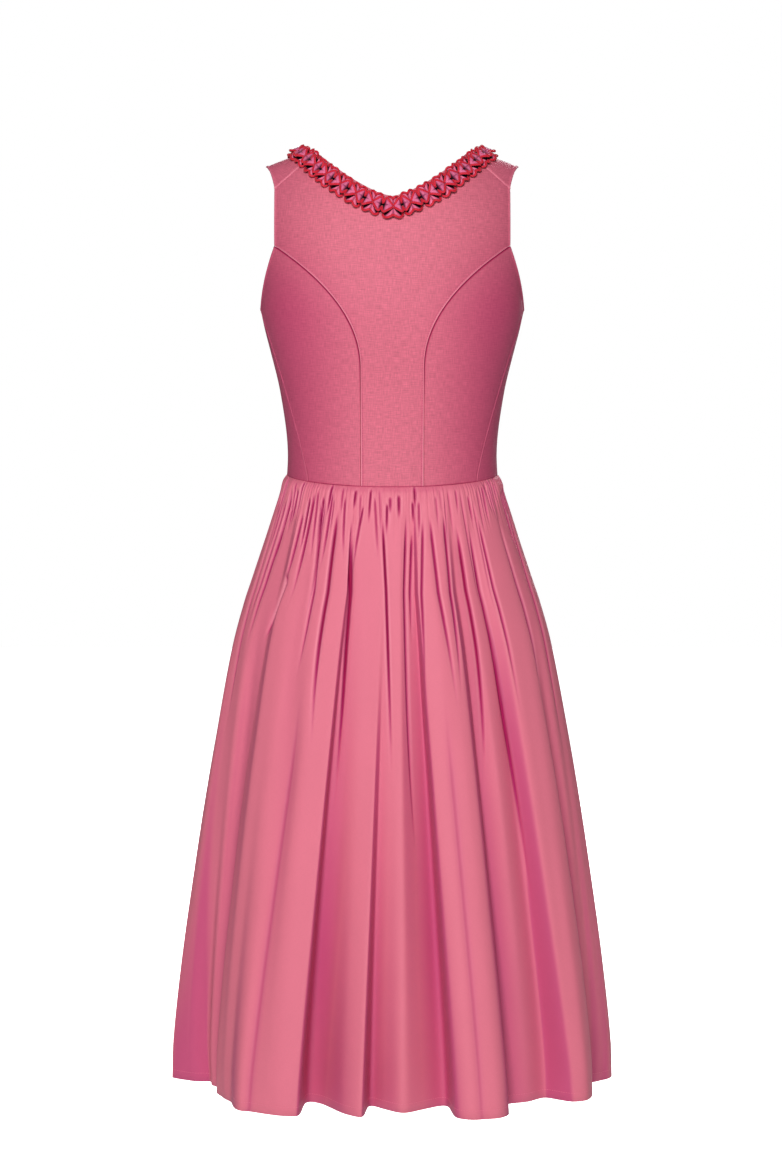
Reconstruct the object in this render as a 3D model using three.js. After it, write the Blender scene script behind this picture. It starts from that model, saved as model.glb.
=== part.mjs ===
// A sleeveless dirndl as it stands when worn: a hollow bodice on two wide straps, a pinched ruche
// round the neck and a gathered skirt.
//
// Frame, in millimetres: the origin is midway between the straps, where the wearer's shoulders
// carry them. +Z is up, the back of the dress faces -Y and the front faces +Y.
//
// An azimuth is measured round the body from the centre back: 0 is the centre back, +90 the side
// at +X, 180 the centre front.
import * as THREE from "three";
import { mergeVertices } from "three/addons/utils/BufferGeometryUtils.js";

// ---- driving dimensions ----
const CLOTH = 1.6;               // wall of every panel
const SEAM_GAP = 0.3;            // between two pieces that are sewn together
const ROUNDNESS = 2.3;           // exponent of the body's superellipse sections

const UNDERARM_LEVEL = -177;
const SIDE_WAIST_LEVEL = -372;
const WAIST_DIP = 9.5;           // how much lower the waist seam is at centre back and front
const HEM_LEVEL = -1103;

const SHOULDER_PEAK = 51.7;      // the shoulder line is a hyperbola in x
const SHOULDER_SLOPE = 0.406;
const SHOULDER_BLUNT = 40;

const NECK_HALF_WIDTH = 88.5;    // back neck edge
const BACK_NECK_LEVEL = -48.2;
const BACK_NECK_RISE = 53.5;
const BACK_NECK_POWER = 1.45;
const SHOULDER_SEAM_X = 137;     // armhole end of the set-back shoulder seam
const SHOULDER_SEAM_LEVEL = -36;

const PRINCESS_WAIST_X = 36.5;
const PRINCESS_BEND_LEVEL = -245;
const ARMHOLE_CORNER_X = 136.5;  // where the princess seam runs into the armhole
const ARMHOLE_CORNER_LEVEL = -104;
const PRINCESS_CURVE = 2.1;      // how late the seam turns out to the armhole
const SIDE_SEAM_WAIST_X = 98;
const SIDE_SEAM_CURVE = 1.15;
const UNDERARM_X = 154.2;

const RUCHE_WIDTH = 25;
const RUCHE_PITCH = 22.5;        // one pinched unit
const RUCHE_CLEARANCE = 0.4;
const RUCHE_INSET = 2.2;         // strip of bodice left bare along the neck edge
const RUCHE_SEAT = 0.6;          // extra lift of its underside, over the bend of the bodice
const RUCHE_PINCH = 0.72;        // its width at a pinch, as a share of the whole
const RUCHE_MIDDLE = 3;          // its thickness along the middle and along the edges, at a pinch
const RUCHE_EDGE = 2;
const RUCHE_SWELL = 2.4;         // how much thicker it is between the pinches

// Pieces that share a seam share its subdivision, so that their walls run side by side.
const SEAM_ROWS = [0, 0.12, 0.26, 0.4, 0.52, 0.62, 0.72, 0.81, 0.88, 0.94, 1];
const STRAP_COLUMNS = 6;

// ---- the body's sections, from the waist up ----
const BODY = [
  { level: -386, halfWidth: 124.6, backDepth: 93.5, frontDepth: 93.5 },
  { level: -372, halfWidth: 124.5, backDepth: 93, frontDepth: 93 },
  { level: -348, halfWidth: 123.8, backDepth: 92, frontDepth: 94 },
  { level: -319, halfWidth: 125.4, backDepth: 92, frontDepth: 98 },
  { level: -283, halfWidth: 130.6, backDepth: 95, frontDepth: 107 },
  { level: -260, halfWidth: 135, backDepth: 98, frontDepth: 114 },
  { level: -224, halfWidth: 144, backDepth: 104, frontDepth: 123 },
  { level: -201, halfWidth: 149.9, backDepth: 107, frontDepth: 125 },
  { level: -177, halfWidth: 155, backDepth: 109, frontDepth: 122 },
];

// ---- the skirt's mean sections, before the folds; level is that of the side seams ----
const SKIRT = [
  { level: -372, halfWidth: 125.5, depth: 94 },
  { level: -379, halfWidth: 129.5, depth: 98 },
  { level: -402, halfWidth: 136.5, depth: 103 },
  { level: -449, halfWidth: 151, depth: 108 },
  { level: -497, halfWidth: 166.5, depth: 112 },
  { level: -521, halfWidth: 174.5, depth: 114 },
  { level: -569, halfWidth: 187.5, depth: 117 },
  { level: -665, halfWidth: 206, depth: 123 },
  { level: -762, halfWidth: 223, depth: 129 },
  { level: -859, halfWidth: 238, depth: 133 },
  { level: -957, halfWidth: 252, depth: 137 },
  { level: -1055, halfWidth: 263, depth: 139.5 },
  { level: -1106, halfWidth: 265, depth: 140 },
];

// ---- the skirt's folds: one row for each crest or valley, in order round the body ----
// top and hem are azimuths in degrees, half and full the reach out of the mean section in
// millimetres, half way down and at the hem.
const FOLDS = [
  { top: -93, hem: -93, half: 3, full: 3 },
  { top: -80, hem: -87, half: -4, full: -20 },
  { top: -62, hem: -79, half: -14, full: -42 },
  { top: -53, hem: -63, half: -18, full: -36 },
  { top: -49, hem: -51, half: 2, full: -8 },
  { top: -44, hem: -45, half: 6, full: 4 },
  { top: -37, hem: -39, half: 10, full: 31 },
  { top: -27, hem: -30, half: 17, full: 33 },
  { top: -17.5, hem: -22.4, half: 17, full: 31 },
  { top: -15.8, hem: -23.6, half: -4, full: -26 },
  { top: -12, hem: -19, half: -5, full: -23 },
  { top: -8, hem: -12, half: 2, full: 11 },
  { top: -4, hem: -7, half: 7, full: 26 },
  { top: -2, hem: -6, half: -3, full: -22 },
  { top: 0, hem: -2, half: 0, full: -9 },
  { top: 3, hem: 3, half: 5, full: 8 },
  { top: 5.5, hem: 9, half: -8, full: -11 },
  { top: 8, hem: 14.4, half: -14, full: -19 },
  { top: 9.5, hem: 14.8, half: 12, full: 30 },
  { top: 15, hem: 19, half: 20, full: 45 },
  { top: 20, hem: 25, half: 19, full: 43 },
  { top: 23.5, hem: 28.5, half: 12, full: 30 },
  { top: 26.5, hem: 31, half: -9, full: -9 },
  { top: 32, hem: 38, half: -2, full: -11 },
  { top: 38, hem: 46, half: -10, full: -19 },
  { top: 43, hem: 50.3, half: 6, full: 13 },
  { top: 50, hem: 56, half: 9, full: 17 },
  { top: 58, hem: 62.5, half: 6, full: 3 },
  { top: 61, hem: 69, half: -16, full: -34 },
  { top: 70, hem: 84, half: -8, full: -18 },
  { top: 95, hem: 97, half: 3, full: 5 },
  { top: 111, hem: 113, half: -8, full: -15 },
  { top: 119, hem: 119, half: 10, full: 22 },
  { top: 126, hem: 127, half: 8, full: 19 },
  { top: 130, hem: 130, half: -12, full: -23 },
  { top: 139, hem: 140, half: -4, full: -8 },
  { top: 145, hem: 146, half: 14, full: 27 },
  { top: 152, hem: 153.5, half: 13, full: 25 },
  { top: 156, hem: 155, half: -11, full: -22 },
  { top: 164, hem: 164, half: -6, full: -13 },
  { top: 170, hem: 169, half: 8, full: 18 },
  { top: 176, hem: 176, half: 9, full: 21 },
  { top: 180, hem: 179.5, half: -8, full: -15 },
  { top: 187, hem: 187, half: 5, full: 12 },
  { top: 194, hem: 195, half: 13, full: 27 },
  { top: 199, hem: 198, half: -10, full: -21 },
  { top: 208, hem: 207, half: -5, full: -12 },
  { top: 214, hem: 213, half: 15, full: 29 },
  { top: 221, hem: 221.5, half: 13, full: 25 },
  { top: 226, hem: 224, half: -9, full: -20 },
  { top: 237, hem: 236, half: -3, full: -6 },
  { top: 244, hem: 243, half: 10, full: 23 },
  { top: 250, hem: 250, half: 7, full: 17 },
  { top: 256, hem: 256, half: -8, full: -19 },
];
const RIGHT_SIDE_FOLD = 30;      // the fold row on which each skirt seam lies
const FRONT_FOLD = 42;

const GATHERS = 54;              // waves at the waist seam
const GATHER_REACH = 2.4;
const GATHER_DROP = 0.22;        // share of the skirt's length over which they die away

// ---- the fronts above the underarm: one row for each level from the bust to the shoulder ----
// Each row is a line across the strap from its neck edge to its armhole edge. turn is the angle
// round the shoulder: +90 at the underarm level in front, 0 on top, negative behind.
const STRAP = [
  { neckX: 0.2, neckTurn: 90, armX: 154.2, armTurn: 90 },
  { neckX: 0.2, neckTurn: 84, armX: 141, armTurn: 80 },
  { neckX: 38, neckTurn: 81, armX: 131, armTurn: 68 },
  { neckX: 66, neckTurn: 71, armX: 128, armTurn: 55 },
  { neckX: 81, neckTurn: 55, armX: 131, armTurn: 42 },
  { neckX: 90, neckTurn: 37, armX: 138, armTurn: 28 },
  { neckX: 95, neckTurn: 18, armX: 145, armTurn: 14 },
  { neckX: 96.5, neckTurn: 4, armX: 148.5, armTurn: 3 },
  { neckX: 95, neckTurn: -8, armX: 146, armTurn: -10 },
];

// ---- cloth colours ----
const bodiceCloth = () => new THREE.MeshStandardMaterial({ color: 0xd8708a, roughness: 0.9, metalness: 0 });
const skirtCloth = () => new THREE.MeshStandardMaterial({ color: 0xd2648a, roughness: 0.85, metalness: 0 });
const rucheCloth = () => new THREE.MeshStandardMaterial({ color: 0xc42a4c, roughness: 0.85, metalness: 0 });

const lerp = THREE.MathUtils.lerp;
const radians = THREE.MathUtils.degToRad;
const steps = (count) => Array.from({ length: count + 1 }, (_, i) => i / count);

/** Reads one column of a table of sections at a level, with a smooth curve between its rows. */
function sectionAt(table, column, level) {
  const last = table.length - 1;
  const goesUp = table[last].level > table[0].level;
  let i = 0;
  while (i < last - 1 && (goesUp ? level > table[i + 1].level : level < table[i + 1].level)) {
    i += 1;
  }
  const span = table[i + 1].level - table[i].level;
  const f = THREE.MathUtils.clamp((level - table[i].level) / span, 0, 1);
  const slopeAt = (k) => {
    const before = table[Math.max(k - 1, 0)];
    const after = table[Math.min(k + 1, last)];
    return (after[column] - before[column]) / (after.level - before.level);
  };
  const f2 = f * f;
  const f3 = f2 * f;
  return (2 * f3 - 3 * f2 + 1) * table[i][column] + (f3 - 2 * f2 + f) * span * slopeAt(i)
    + (3 * f2 - 2 * f3) * table[i + 1][column] + (f3 - f2) * span * slopeAt(i + 1);
}

/** The share of a superellipse's depth that is left at x. */
function roundOff(x, halfWidth) {
  const share = Math.min(Math.abs(x) / halfWidth, 1);
  return Math.pow(1 - Math.pow(share, ROUNDNESS), 1 / ROUNDNESS);
}

const waistLevel = (azimuth) => SIDE_WAIST_LEVEL - WAIST_DIP * Math.pow(Math.abs(Math.cos(azimuth)), 1.5);
const shoulderLevel = (x) => SHOULDER_PEAK - SHOULDER_SLOPE * Math.hypot(x, SHOULDER_BLUNT);

/** A point of the body between waist and underarm. */
function trunk(azimuth, level) {
  const side = Math.sin(azimuth);
  const back = Math.cos(azimuth);
  const depth = sectionAt(BODY, back > 0 ? "backDepth" : "frontDepth", level);
  const x = Math.sign(side) * sectionAt(BODY, "halfWidth", level) * Math.pow(Math.abs(side), 2 / ROUNDNESS);
  const y = -Math.sign(back) * depth * Math.pow(Math.abs(back), 2 / ROUNDNESS);
  return new THREE.Vector3(x, y, level);
}

/** A point of the body above the underarm: turn goes from +90 in front over the shoulder to -90 behind. */
function shoulder(x, turn) {
  const depth = sectionAt(BODY, turn < 0 ? "backDepth" : "frontDepth", UNDERARM_LEVEL);
  const rise = shoulderLevel(x) - UNDERARM_LEVEL;
  const y = depth * roundOff(x, sectionAt(BODY, "halfWidth", UNDERARM_LEVEL)) * Math.sin(turn);
  return new THREE.Vector3(x, y, UNDERARM_LEVEL + rise * Math.cos(turn));
}

/** The turn behind the shoulder at which the body passes a level. */
function backTurn(x, level) {
  const climb = (level - UNDERARM_LEVEL) / (shoulderLevel(x) - UNDERARM_LEVEL);
  return -Math.acos(THREE.MathUtils.clamp(climb, -1, 1));
}

/** A point of the back, at any height, from its x and its level. */
function backPoint(x, level) {
  if (level > UNDERARM_LEVEL) {
    return shoulder(x, backTurn(x, level));
  }
  const halfWidth = sectionAt(BODY, "halfWidth", level);
  const y = -sectionAt(BODY, "backDepth", level) * roundOff(x, halfWidth);
  return new THREE.Vector3(x, y, level);
}

/** The azimuth at which the trunk has this x, on the back. */
function azimuthOf(x, level) {
  const share = Math.min(x / sectionAt(BODY, "halfWidth", level), 1);
  return Math.asin(Math.pow(share, ROUNDNESS / 2));
}

// ---- seam lines on the side at +X ----
function princessX(level) {
  const climb = (level - PRINCESS_BEND_LEVEL) / (ARMHOLE_CORNER_LEVEL - PRINCESS_BEND_LEVEL);
  const spread = ARMHOLE_CORNER_X - PRINCESS_WAIST_X;
  return PRINCESS_WAIST_X + spread * Math.pow(Math.max(climb, 0), PRINCESS_CURVE);
}

/** How far a panel stops short of the princess seam, along x, to leave its half of the seam gap. */
function princessGap(level) {
  const slope = princessX(level + 1) - princessX(level);
  return SEAM_GAP / 2 * Math.hypot(1, slope);
}

function sideSeamX(level) {
  const climb = Math.max((level - SIDE_WAIST_LEVEL) / (UNDERARM_LEVEL - SIDE_WAIST_LEVEL), 0);
  return lerp(SIDE_SEAM_WAIST_X, UNDERARM_X, Math.pow(climb, SIDE_SEAM_CURVE));
}

function backNeckLevel(x) {
  return BACK_NECK_LEVEL + BACK_NECK_RISE * Math.pow(Math.abs(x) / NECK_HALF_WIDTH, BACK_NECK_POWER);
}

function shoulderSeamLevel(x) {
  const along = (x - NECK_HALF_WIDTH) / (SHOULDER_SEAM_X - NECK_HALF_WIDTH);
  return lerp(backNeckLevel(NECK_HALF_WIDTH), SHOULDER_SEAM_LEVEL, along);
}

/** Turns a grid of points, with the walls' normals, into one closed body. */
function solidFromGrid(outer, inner, outward) {
  const rows = outer.length;
  const columns = outer[0].length;
  const positions = [];
  const indices = [];
  for (const face of [outer, inner]) {
    for (const row of face) {
      for (const p of row) {
        positions.push(p.x, p.y, p.z);
      }
    }
  }
  const at = (face, j, i) => face * rows * columns + j * columns + i;
  const quad = (a, b, c, d) => {
    if (outward) {
      indices.push(a, b, c, a, c, d);
    } else {
      indices.push(a, c, b, a, d, c);
    }
  };
  for (let j = 0; j < rows - 1; j += 1) {
    for (let i = 0; i < columns - 1; i += 1) {
      quad(at(0, j, i), at(0, j, i + 1), at(0, j + 1, i + 1), at(0, j + 1, i));
      quad(at(1, j, i), at(1, j + 1, i), at(1, j + 1, i + 1), at(1, j, i + 1));
    }
  }
  for (let i = 0; i < columns - 1; i += 1) {
    quad(at(1, 0, i), at(1, 0, i + 1), at(0, 0, i + 1), at(0, 0, i));
    quad(at(0, rows - 1, i), at(0, rows - 1, i + 1), at(1, rows - 1, i + 1), at(1, rows - 1, i));
  }
  for (let j = 0; j < rows - 1; j += 1) {
    quad(at(0, j, 0), at(0, j + 1, 0), at(1, j + 1, 0), at(1, j, 0));
    quad(at(1, j, columns - 1), at(1, j + 1, columns - 1), at(0, j + 1, columns - 1), at(0, j, columns - 1));
  }
  const geometry = new THREE.BufferGeometry();
  geometry.setAttribute("position", new THREE.Float32BufferAttribute(positions, 3));
  geometry.setIndex(indices);
  return mergeVertices(geometry, 1e-4);
}

/** The normal of the face that pointAt describes, by small steps that stay between the limits. */
function faceNormal(pointAt, u, v, limits) {
  const nudge = 1e-3;
  const u0 = Math.max(u - nudge, limits.from);
  const u1 = Math.min(u + nudge, limits.to);
  const v0 = Math.max(v - nudge, 0);
  const v1 = Math.min(v + nudge, 1);
  const du = pointAt(u1, v).sub(pointAt(u0, v));
  const dv = pointAt(u, v1).sub(pointAt(u, v0));
  return du.cross(dv).normalize();
}

/**
 * One piece of cloth: pointAt(u, v) gives its outer face, us and vs the lines of its grid.
 * The wall is built inward from there.
 */
function clothPiece(name, material, us, vs, pointAt, outward, limits = { from: 0, to: 1 }) {
  const normalAt = (u, v) => faceNormal(pointAt, u, v, limits).multiplyScalar(outward ? 1 : -1);
  const outer = vs.map((v) => us.map((u) => pointAt(u, v)));
  const sunk = (u, v, p) => p.clone().addScaledVector(normalAt(u, v), -CLOTH);
  const inner = vs.map((v, j) => us.map((u, i) => sunk(u, v, outer[j][i])));
  const mesh = new THREE.Mesh(solidFromGrid(outer, inner, outward), material);
  mesh.name = name;
  return mesh;
}

const mirrored = (p, side) => new THREE.Vector3(p.x * side, p.y, p.z);

// ---- bodice ----

/** The centre back: its edge is the princess seam, then the armhole, then the shoulder seam. */
function backCenter() {
  const armholeRows = steps(3).slice(1);
  const waist = waistLevel(azimuthOf(PRINCESS_WAIST_X, SIDE_WAIST_LEVEL));
  const seamShare = 0.8;
  const edge = (v) => {
    if (v <= seamShare) {
      const level = lerp(waist, ARMHOLE_CORNER_LEVEL, v / seamShare);
      return { x: princessX(level) - princessGap(level), level };
    }
    const climb = (v - seamShare) / (1 - seamShare);
    return {
      x: lerp(ARMHOLE_CORNER_X - princessGap(ARMHOLE_CORNER_LEVEL), SHOULDER_SEAM_X, Math.pow(climb, 0.6)),
      level: lerp(ARMHOLE_CORNER_LEVEL, SHOULDER_SEAM_LEVEL - SEAM_GAP, climb),
    };
  };
  const topLevel = (x) => {
    const top = Math.abs(x) < NECK_HALF_WIDTH ? backNeckLevel(x) : shoulderSeamLevel(Math.abs(x));
    return top - SEAM_GAP;
  };
  const pointAt = (u, v) => {
    const across = 2 * u - 1;
    const { x, level } = edge(v);
    const climb = (level - waist) / (SHOULDER_SEAM_LEVEL - SEAM_GAP - waist);
    const bottomX = PRINCESS_WAIST_X * across;
    const bottom = waistLevel(azimuthOf(Math.abs(bottomX), SIDE_WAIST_LEVEL));
    const top = topLevel(across * SHOULDER_SEAM_X);
    return backPoint(across * x, lerp(bottom, top, climb));
  };
  const neckShare = NECK_HALF_WIDTH / SHOULDER_SEAM_X;
  const halfUs = [0, 0.25, 0.5, 0.75, 1].map((f) => f * neckShare)
    .concat(steps(STRAP_COLUMNS).slice(1).map((f) => lerp(neckShare, 1, f)));
  const us = halfUs.slice(1).reverse().map((f) => (1 - f) / 2).concat(halfUs.map((f) => (1 + f) / 2));
  const vs = SEAM_ROWS.map((f) => f * seamShare).concat(armholeRows.map((f) => lerp(seamShare, 1, f)));
  return clothPiece("back_center", bodiceCloth(), us, vs, pointAt, true);
}

/** A side back panel, from the princess seam to the side seam. */
function backSide(name, side) {
  const half = SEAM_GAP / 2;
  const pointAt = (u, v) => {
    const waistInner = waistLevel(azimuthOf(PRINCESS_WAIST_X, SIDE_WAIST_LEVEL));
    const waistOuter = waistLevel(azimuthOf(SIDE_SEAM_WAIST_X, SIDE_WAIST_LEVEL));
    const innerLevel = lerp(waistInner, ARMHOLE_CORNER_LEVEL, v);
    const outerLevel = lerp(waistOuter, UNDERARM_LEVEL, v);
    const innerX = princessX(innerLevel) + princessGap(innerLevel);
    const outerX = sideSeamX(outerLevel) - half;
    const width = sectionAt(BODY, "halfWidth", UNDERARM_LEVEL);
    const innerAzimuth = azimuthOf(innerX, Math.min(innerLevel, UNDERARM_LEVEL));
    const outerAzimuth = azimuthOf(outerX, outerLevel);
    const level = lerp(innerLevel, outerLevel, u);
    const azimuth = lerp(innerAzimuth, outerAzimuth, u);
    if (level <= UNDERARM_LEVEL) {
      return mirrored(trunk(azimuth, level), side);
    }
    const x = width * Math.pow(Math.sin(azimuth), 2 / ROUNDNESS);
    return mirrored(shoulder(x, backTurn(x, level)), side);
  };
  return clothPiece(name, bodiceCloth(), steps(5), SEAM_ROWS, pointAt, side > 0);
}

/** A front, from the centre front round to the side seam, with its strap over the shoulder. */
function front(name, side) {
  const half = SEAM_GAP / 2;
  const bodyShare = 0.5;
  const strapRows = STRAP.length;
  const strapAt = (row) => {
    const i = Math.min(Math.floor(row), strapRows - 2);
    const f = row - i;
    const mix = (column) => lerp(STRAP[i][column], STRAP[i + 1][column], f);
    return { neckX: mix("neckX"), neckTurn: mix("neckTurn"), armX: mix("armX"), armTurn: mix("armTurn") };
  };
  const pointAt = (u, v) => {
    if (v <= bodyShare) {
      const waistAzimuth = azimuthOf(SIDE_SEAM_WAIST_X, SIDE_WAIST_LEVEL);
      const sideLevel = lerp(waistLevel(waistAzimuth), UNDERARM_LEVEL, v / bodyShare);
      const seamAzimuth = azimuthOf(sideSeamX(sideLevel) + half, sideLevel);
      const centerAzimuth = Math.PI - azimuthOf(half, SIDE_WAIST_LEVEL);
      const azimuth = lerp(centerAzimuth, seamAzimuth, u);
      const level = lerp(waistLevel(lerp(centerAzimuth, waistAzimuth, u)), UNDERARM_LEVEL, v / bodyShare);
      return mirrored(trunk(azimuth, level), side);
    }
    const row = ((v - bodyShare) / (1 - bodyShare)) * strapRows;
    if (row > strapRows - 1) {
      const last = STRAP[strapRows - 1];
      const f = row - (strapRows - 1);
      const seamX = lerp(NECK_HALF_WIDTH, SHOULDER_SEAM_X, u);
      const seamTurn = backTurn(seamX, shoulderSeamLevel(seamX));
      const x = lerp(lerp(last.neckX, last.armX, u), seamX, f);
      const turn = lerp(radians(lerp(last.neckTurn, last.armTurn, u)), seamTurn, f);
      return mirrored(shoulder(x, turn), side);
    }
    const { neckX, neckTurn, armX, armTurn } = strapAt(row);
    const lowShare = Math.max(1 - row, 0);
    const width = sectionAt(BODY, "halfWidth", UNDERARM_LEVEL);
    const straightX = lerp(neckX, armX, u);
    const roundX = width * Math.pow(Math.sin(lerp(0, azimuthOf(armX, UNDERARM_LEVEL), u)), 2 / ROUNDNESS);
    const x = lerp(straightX, Math.max(roundX, half), lowShare);
    return mirrored(shoulder(x, radians(lerp(neckTurn, armTurn, u))), side);
  };
  const vs = SEAM_ROWS.map((f) => f * bodyShare)
    .concat(steps(strapRows * 2).slice(1).map((f) => lerp(bodyShare, 1, f)));
  return clothPiece(name, bodiceCloth(), steps(STRAP_COLUMNS), vs, pointAt, side < 0);
}

// ---- neck ruche ----

/** One side of the neck edge, from the centre back (0) over the shoulder to the centre front (1). */
function neckEdge(share) {
  const backShare = 0.36;
  if (share < backShare) {
    const x = NECK_HALF_WIDTH * share / backShare;
    return shoulder(x, backTurn(x, backNeckLevel(x)));
  }
  const row = lerp(STRAP.length - 0.2, 1.02, (share - backShare) / (1 - backShare));
  const i = Math.min(Math.floor(row), STRAP.length - 1);
  const f = row - i;
  const corner = { neckX: NECK_HALF_WIDTH, neckTurn: THREE.MathUtils.radToDeg(backTurn(NECK_HALF_WIDTH, 5)) };
  const from = STRAP[i];
  const to = STRAP[i + 1] ?? corner;
  return shoulder(lerp(from.neckX, to.neckX, f), radians(lerp(from.neckTurn, to.neckTurn, f)));
}

/** Puts a point on the body's surface above the underarm, and gives the outward normal there. */
function settle(point) {
  const miss = (p) => {
    const depth = sectionAt(BODY, p.y < 0 ? "backDepth" : "frontDepth", UNDERARM_LEVEL);
    const reach = depth * roundOff(p.x, sectionAt(BODY, "halfWidth", UNDERARM_LEVEL));
    const rise = shoulderLevel(p.x) - UNDERARM_LEVEL;
    return Math.hypot(p.y / reach, (p.z - UNDERARM_LEVEL) / rise) - 1;
  };
  const p = point.clone();
  const slope = new THREE.Vector3();
  for (let round = 0; round < 3; round += 1) {
    const here = miss(p);
    const d = 0.01;
    slope.set(
      miss(p.clone().add(new THREE.Vector3(d, 0, 0))) - here,
      miss(p.clone().add(new THREE.Vector3(0, d, 0))) - here,
      miss(p.clone().add(new THREE.Vector3(0, 0, d))) - here,
    ).divideScalar(d);
    p.addScaledVector(slope, -here / slope.lengthSq());
  }
  return { point: p, normal: slope.clone().normalize() };
}

/** The whole neck edge, at +X from its centre front to the centre back, then back at -X, evenly spaced. */
function neckPath() {
  const side = steps(120).map(neckEdge);
  const whole = side.slice().reverse().concat(side.slice(1).map((p) => mirrored(p, -1)));
  return new THREE.CatmullRomCurve3(whole, false, "centripetal");
}

function ruche() {
  const path = neckPath();
  path.arcLengthDivisions = 2000;
  const units = Math.round(path.getLength() / RUCHE_PITCH);
  const across = [-1, 0, 1];
  const outer = [];
  const inner = [];
  for (let k = 0; k <= units * 3; k += 1) {
    const share = k / (units * 3);
    const edge = settle(path.getPointAt(share));
    const along = path.getTangentAt(share);
    const inward = along.clone().cross(edge.normal).normalize();
    if (inward.z > 0) {
      inward.negate();
    }
    const swell = Math.pow(Math.sin((k / 3) * Math.PI), 2);
    const halfWidth = RUCHE_WIDTH / 2 * lerp(RUCHE_PINCH, 1, swell);
    const outerRow = [];
    const innerRow = [];
    for (const a of across) {
      const distance = RUCHE_INSET + RUCHE_WIDTH / 2 + a * halfWidth;
      const spot = settle(edge.point.clone().addScaledVector(inward, distance));
      const height = (a === 0 ? RUCHE_MIDDLE : RUCHE_EDGE) + RUCHE_SWELL * swell;
      const underside = RUCHE_CLEARANCE + RUCHE_SEAT;
      innerRow.push(spot.point.clone().addScaledVector(spot.normal, underside));
      outerRow.push(spot.point.clone().addScaledVector(spot.normal, underside + height));
    }
    outer.push(outerRow);
    inner.push(innerRow);
  }
  const mesh = new THREE.Mesh(solidFromGrid(outer, inner, false), rucheCloth());
  mesh.name = "neck_ruche";
  return mesh;
}

// ---- skirt ----

/** A value of the fold table at a place between its rows, the rows being joined by a smooth curve. */
function foldValue(place, read) {
  const count = FOLDS.length;
  const i = Math.floor(place);
  const f = place - i;
  const row = (k) => {
    const turns = Math.floor(k / count);
    return read(FOLDS[k - turns * count], turns * 360);
  };
  const [a, b, c, d] = [row(i - 1), row(i), row(i + 1), row(i + 2)];
  const out = (c - a) * 0.32;
  const into = (d - b) * 0.32;
  const f2 = f * f;
  const f3 = f2 * f;
  return (2 * f3 - 3 * f2 + 1) * b + (f3 - 2 * f2 + f) * out + (3 * f2 - 2 * f3) * c + (f3 - f2) * into;
}

/** A point of the skirt: place counts fold rows round the body, drop goes from 0 at the waist to 1. */
function skirtPoint(place, drop) {
  const azimuth = radians(foldValue(place, (row, turn) => lerp(row.top, row.hem, drop) + turn));
  const midway = 4 * drop * (1 - drop);
  const atHem = drop * (2 * drop - 1);
  const reach = foldValue(place, (row) => row.half * midway + row.full * atHem);
  const level = lerp(waistLevel(azimuth) - SEAM_GAP, HEM_LEVEL, drop);
  const sideLevel = lerp(SIDE_WAIST_LEVEL, HEM_LEVEL, drop);
  const halfWidth = sectionAt(SKIRT, "halfWidth", sideLevel);
  const depth = sectionAt(SKIRT, "depth", sideLevel);
  const roundness = lerp(ROUNDNESS, 2, Math.min(drop * 6, 1));
  const side = Math.sin(azimuth);
  const back = Math.cos(azimuth);
  const fade = Math.pow(Math.max(1 - drop / GATHER_DROP, 0), 2);
  const gather = GATHER_REACH * fade * Math.sin(azimuth * GATHERS);
  const out = new THREE.Vector2(side / halfWidth, -back / depth).normalize();
  const x = Math.sign(side) * halfWidth * Math.pow(Math.abs(side), 2 / roundness);
  const y = -Math.sign(back) * depth * Math.pow(Math.abs(back), 2 / roundness);
  return new THREE.Vector3(x + out.x * (reach + gather), y + out.y * (reach + gather), level);
}

/** One width of the skirt, between two rows of the fold table. */
function skirtPiece(name, firstFold, lastFold) {
  const trim = 0.03;
  const from = firstFold + trim;
  const to = lastFold - trim;
  const us = steps((lastFold - firstFold) * 2).map((u) => lerp(from, to, u));
  const vs = [0, 0.012, 0.035, 0.08, 0.15, 0.24, 0.36, 0.49, 0.62, 0.75, 0.88, 1];
  return clothPiece(name, skirtCloth(), us, vs, skirtPoint, false, { from: -1, to: FOLDS.length + 1 });
}

const dirndl = new THREE.Group();
dirndl.add(
  backCenter(),
  backSide("back_side_left", -1),
  backSide("back_side_right", 1),
  front("front_left", -1),
  front("front_right", 1),
  ruche(),
  skirtPiece("skirt_back", 0, RIGHT_SIDE_FOLD),
  skirtPiece("skirt_front_right", RIGHT_SIDE_FOLD, FRONT_FOLD),
  skirtPiece("skirt_front_left", FRONT_FOLD, FOLDS.length),
);

export default dirndl;
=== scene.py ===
"""A sleeveless dirndl as it stands when worn, with no wearer, seen from the back.

All shapes are worked out in millimetres, in the CAD model's frame: the origin is midway between the straps,
+Z is up, the back of the dress faces -Y. An azimuth is 0 at the centre back, 90 at the side at +X and
180 at the centre front.
"""
import math

import bpy
import numpy as np
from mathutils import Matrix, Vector


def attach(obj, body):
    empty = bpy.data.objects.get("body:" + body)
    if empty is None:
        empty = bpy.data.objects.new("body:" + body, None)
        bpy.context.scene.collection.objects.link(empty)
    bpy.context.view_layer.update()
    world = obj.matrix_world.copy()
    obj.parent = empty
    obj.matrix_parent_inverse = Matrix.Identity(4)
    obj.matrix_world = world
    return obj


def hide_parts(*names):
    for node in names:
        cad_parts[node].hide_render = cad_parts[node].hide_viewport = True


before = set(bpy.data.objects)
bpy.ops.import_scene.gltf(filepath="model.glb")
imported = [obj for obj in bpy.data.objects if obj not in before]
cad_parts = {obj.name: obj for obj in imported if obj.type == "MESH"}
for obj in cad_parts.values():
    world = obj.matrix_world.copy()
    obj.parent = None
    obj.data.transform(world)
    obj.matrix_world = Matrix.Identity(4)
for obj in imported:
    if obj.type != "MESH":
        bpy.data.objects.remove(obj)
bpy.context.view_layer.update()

MM = 0.001


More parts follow.
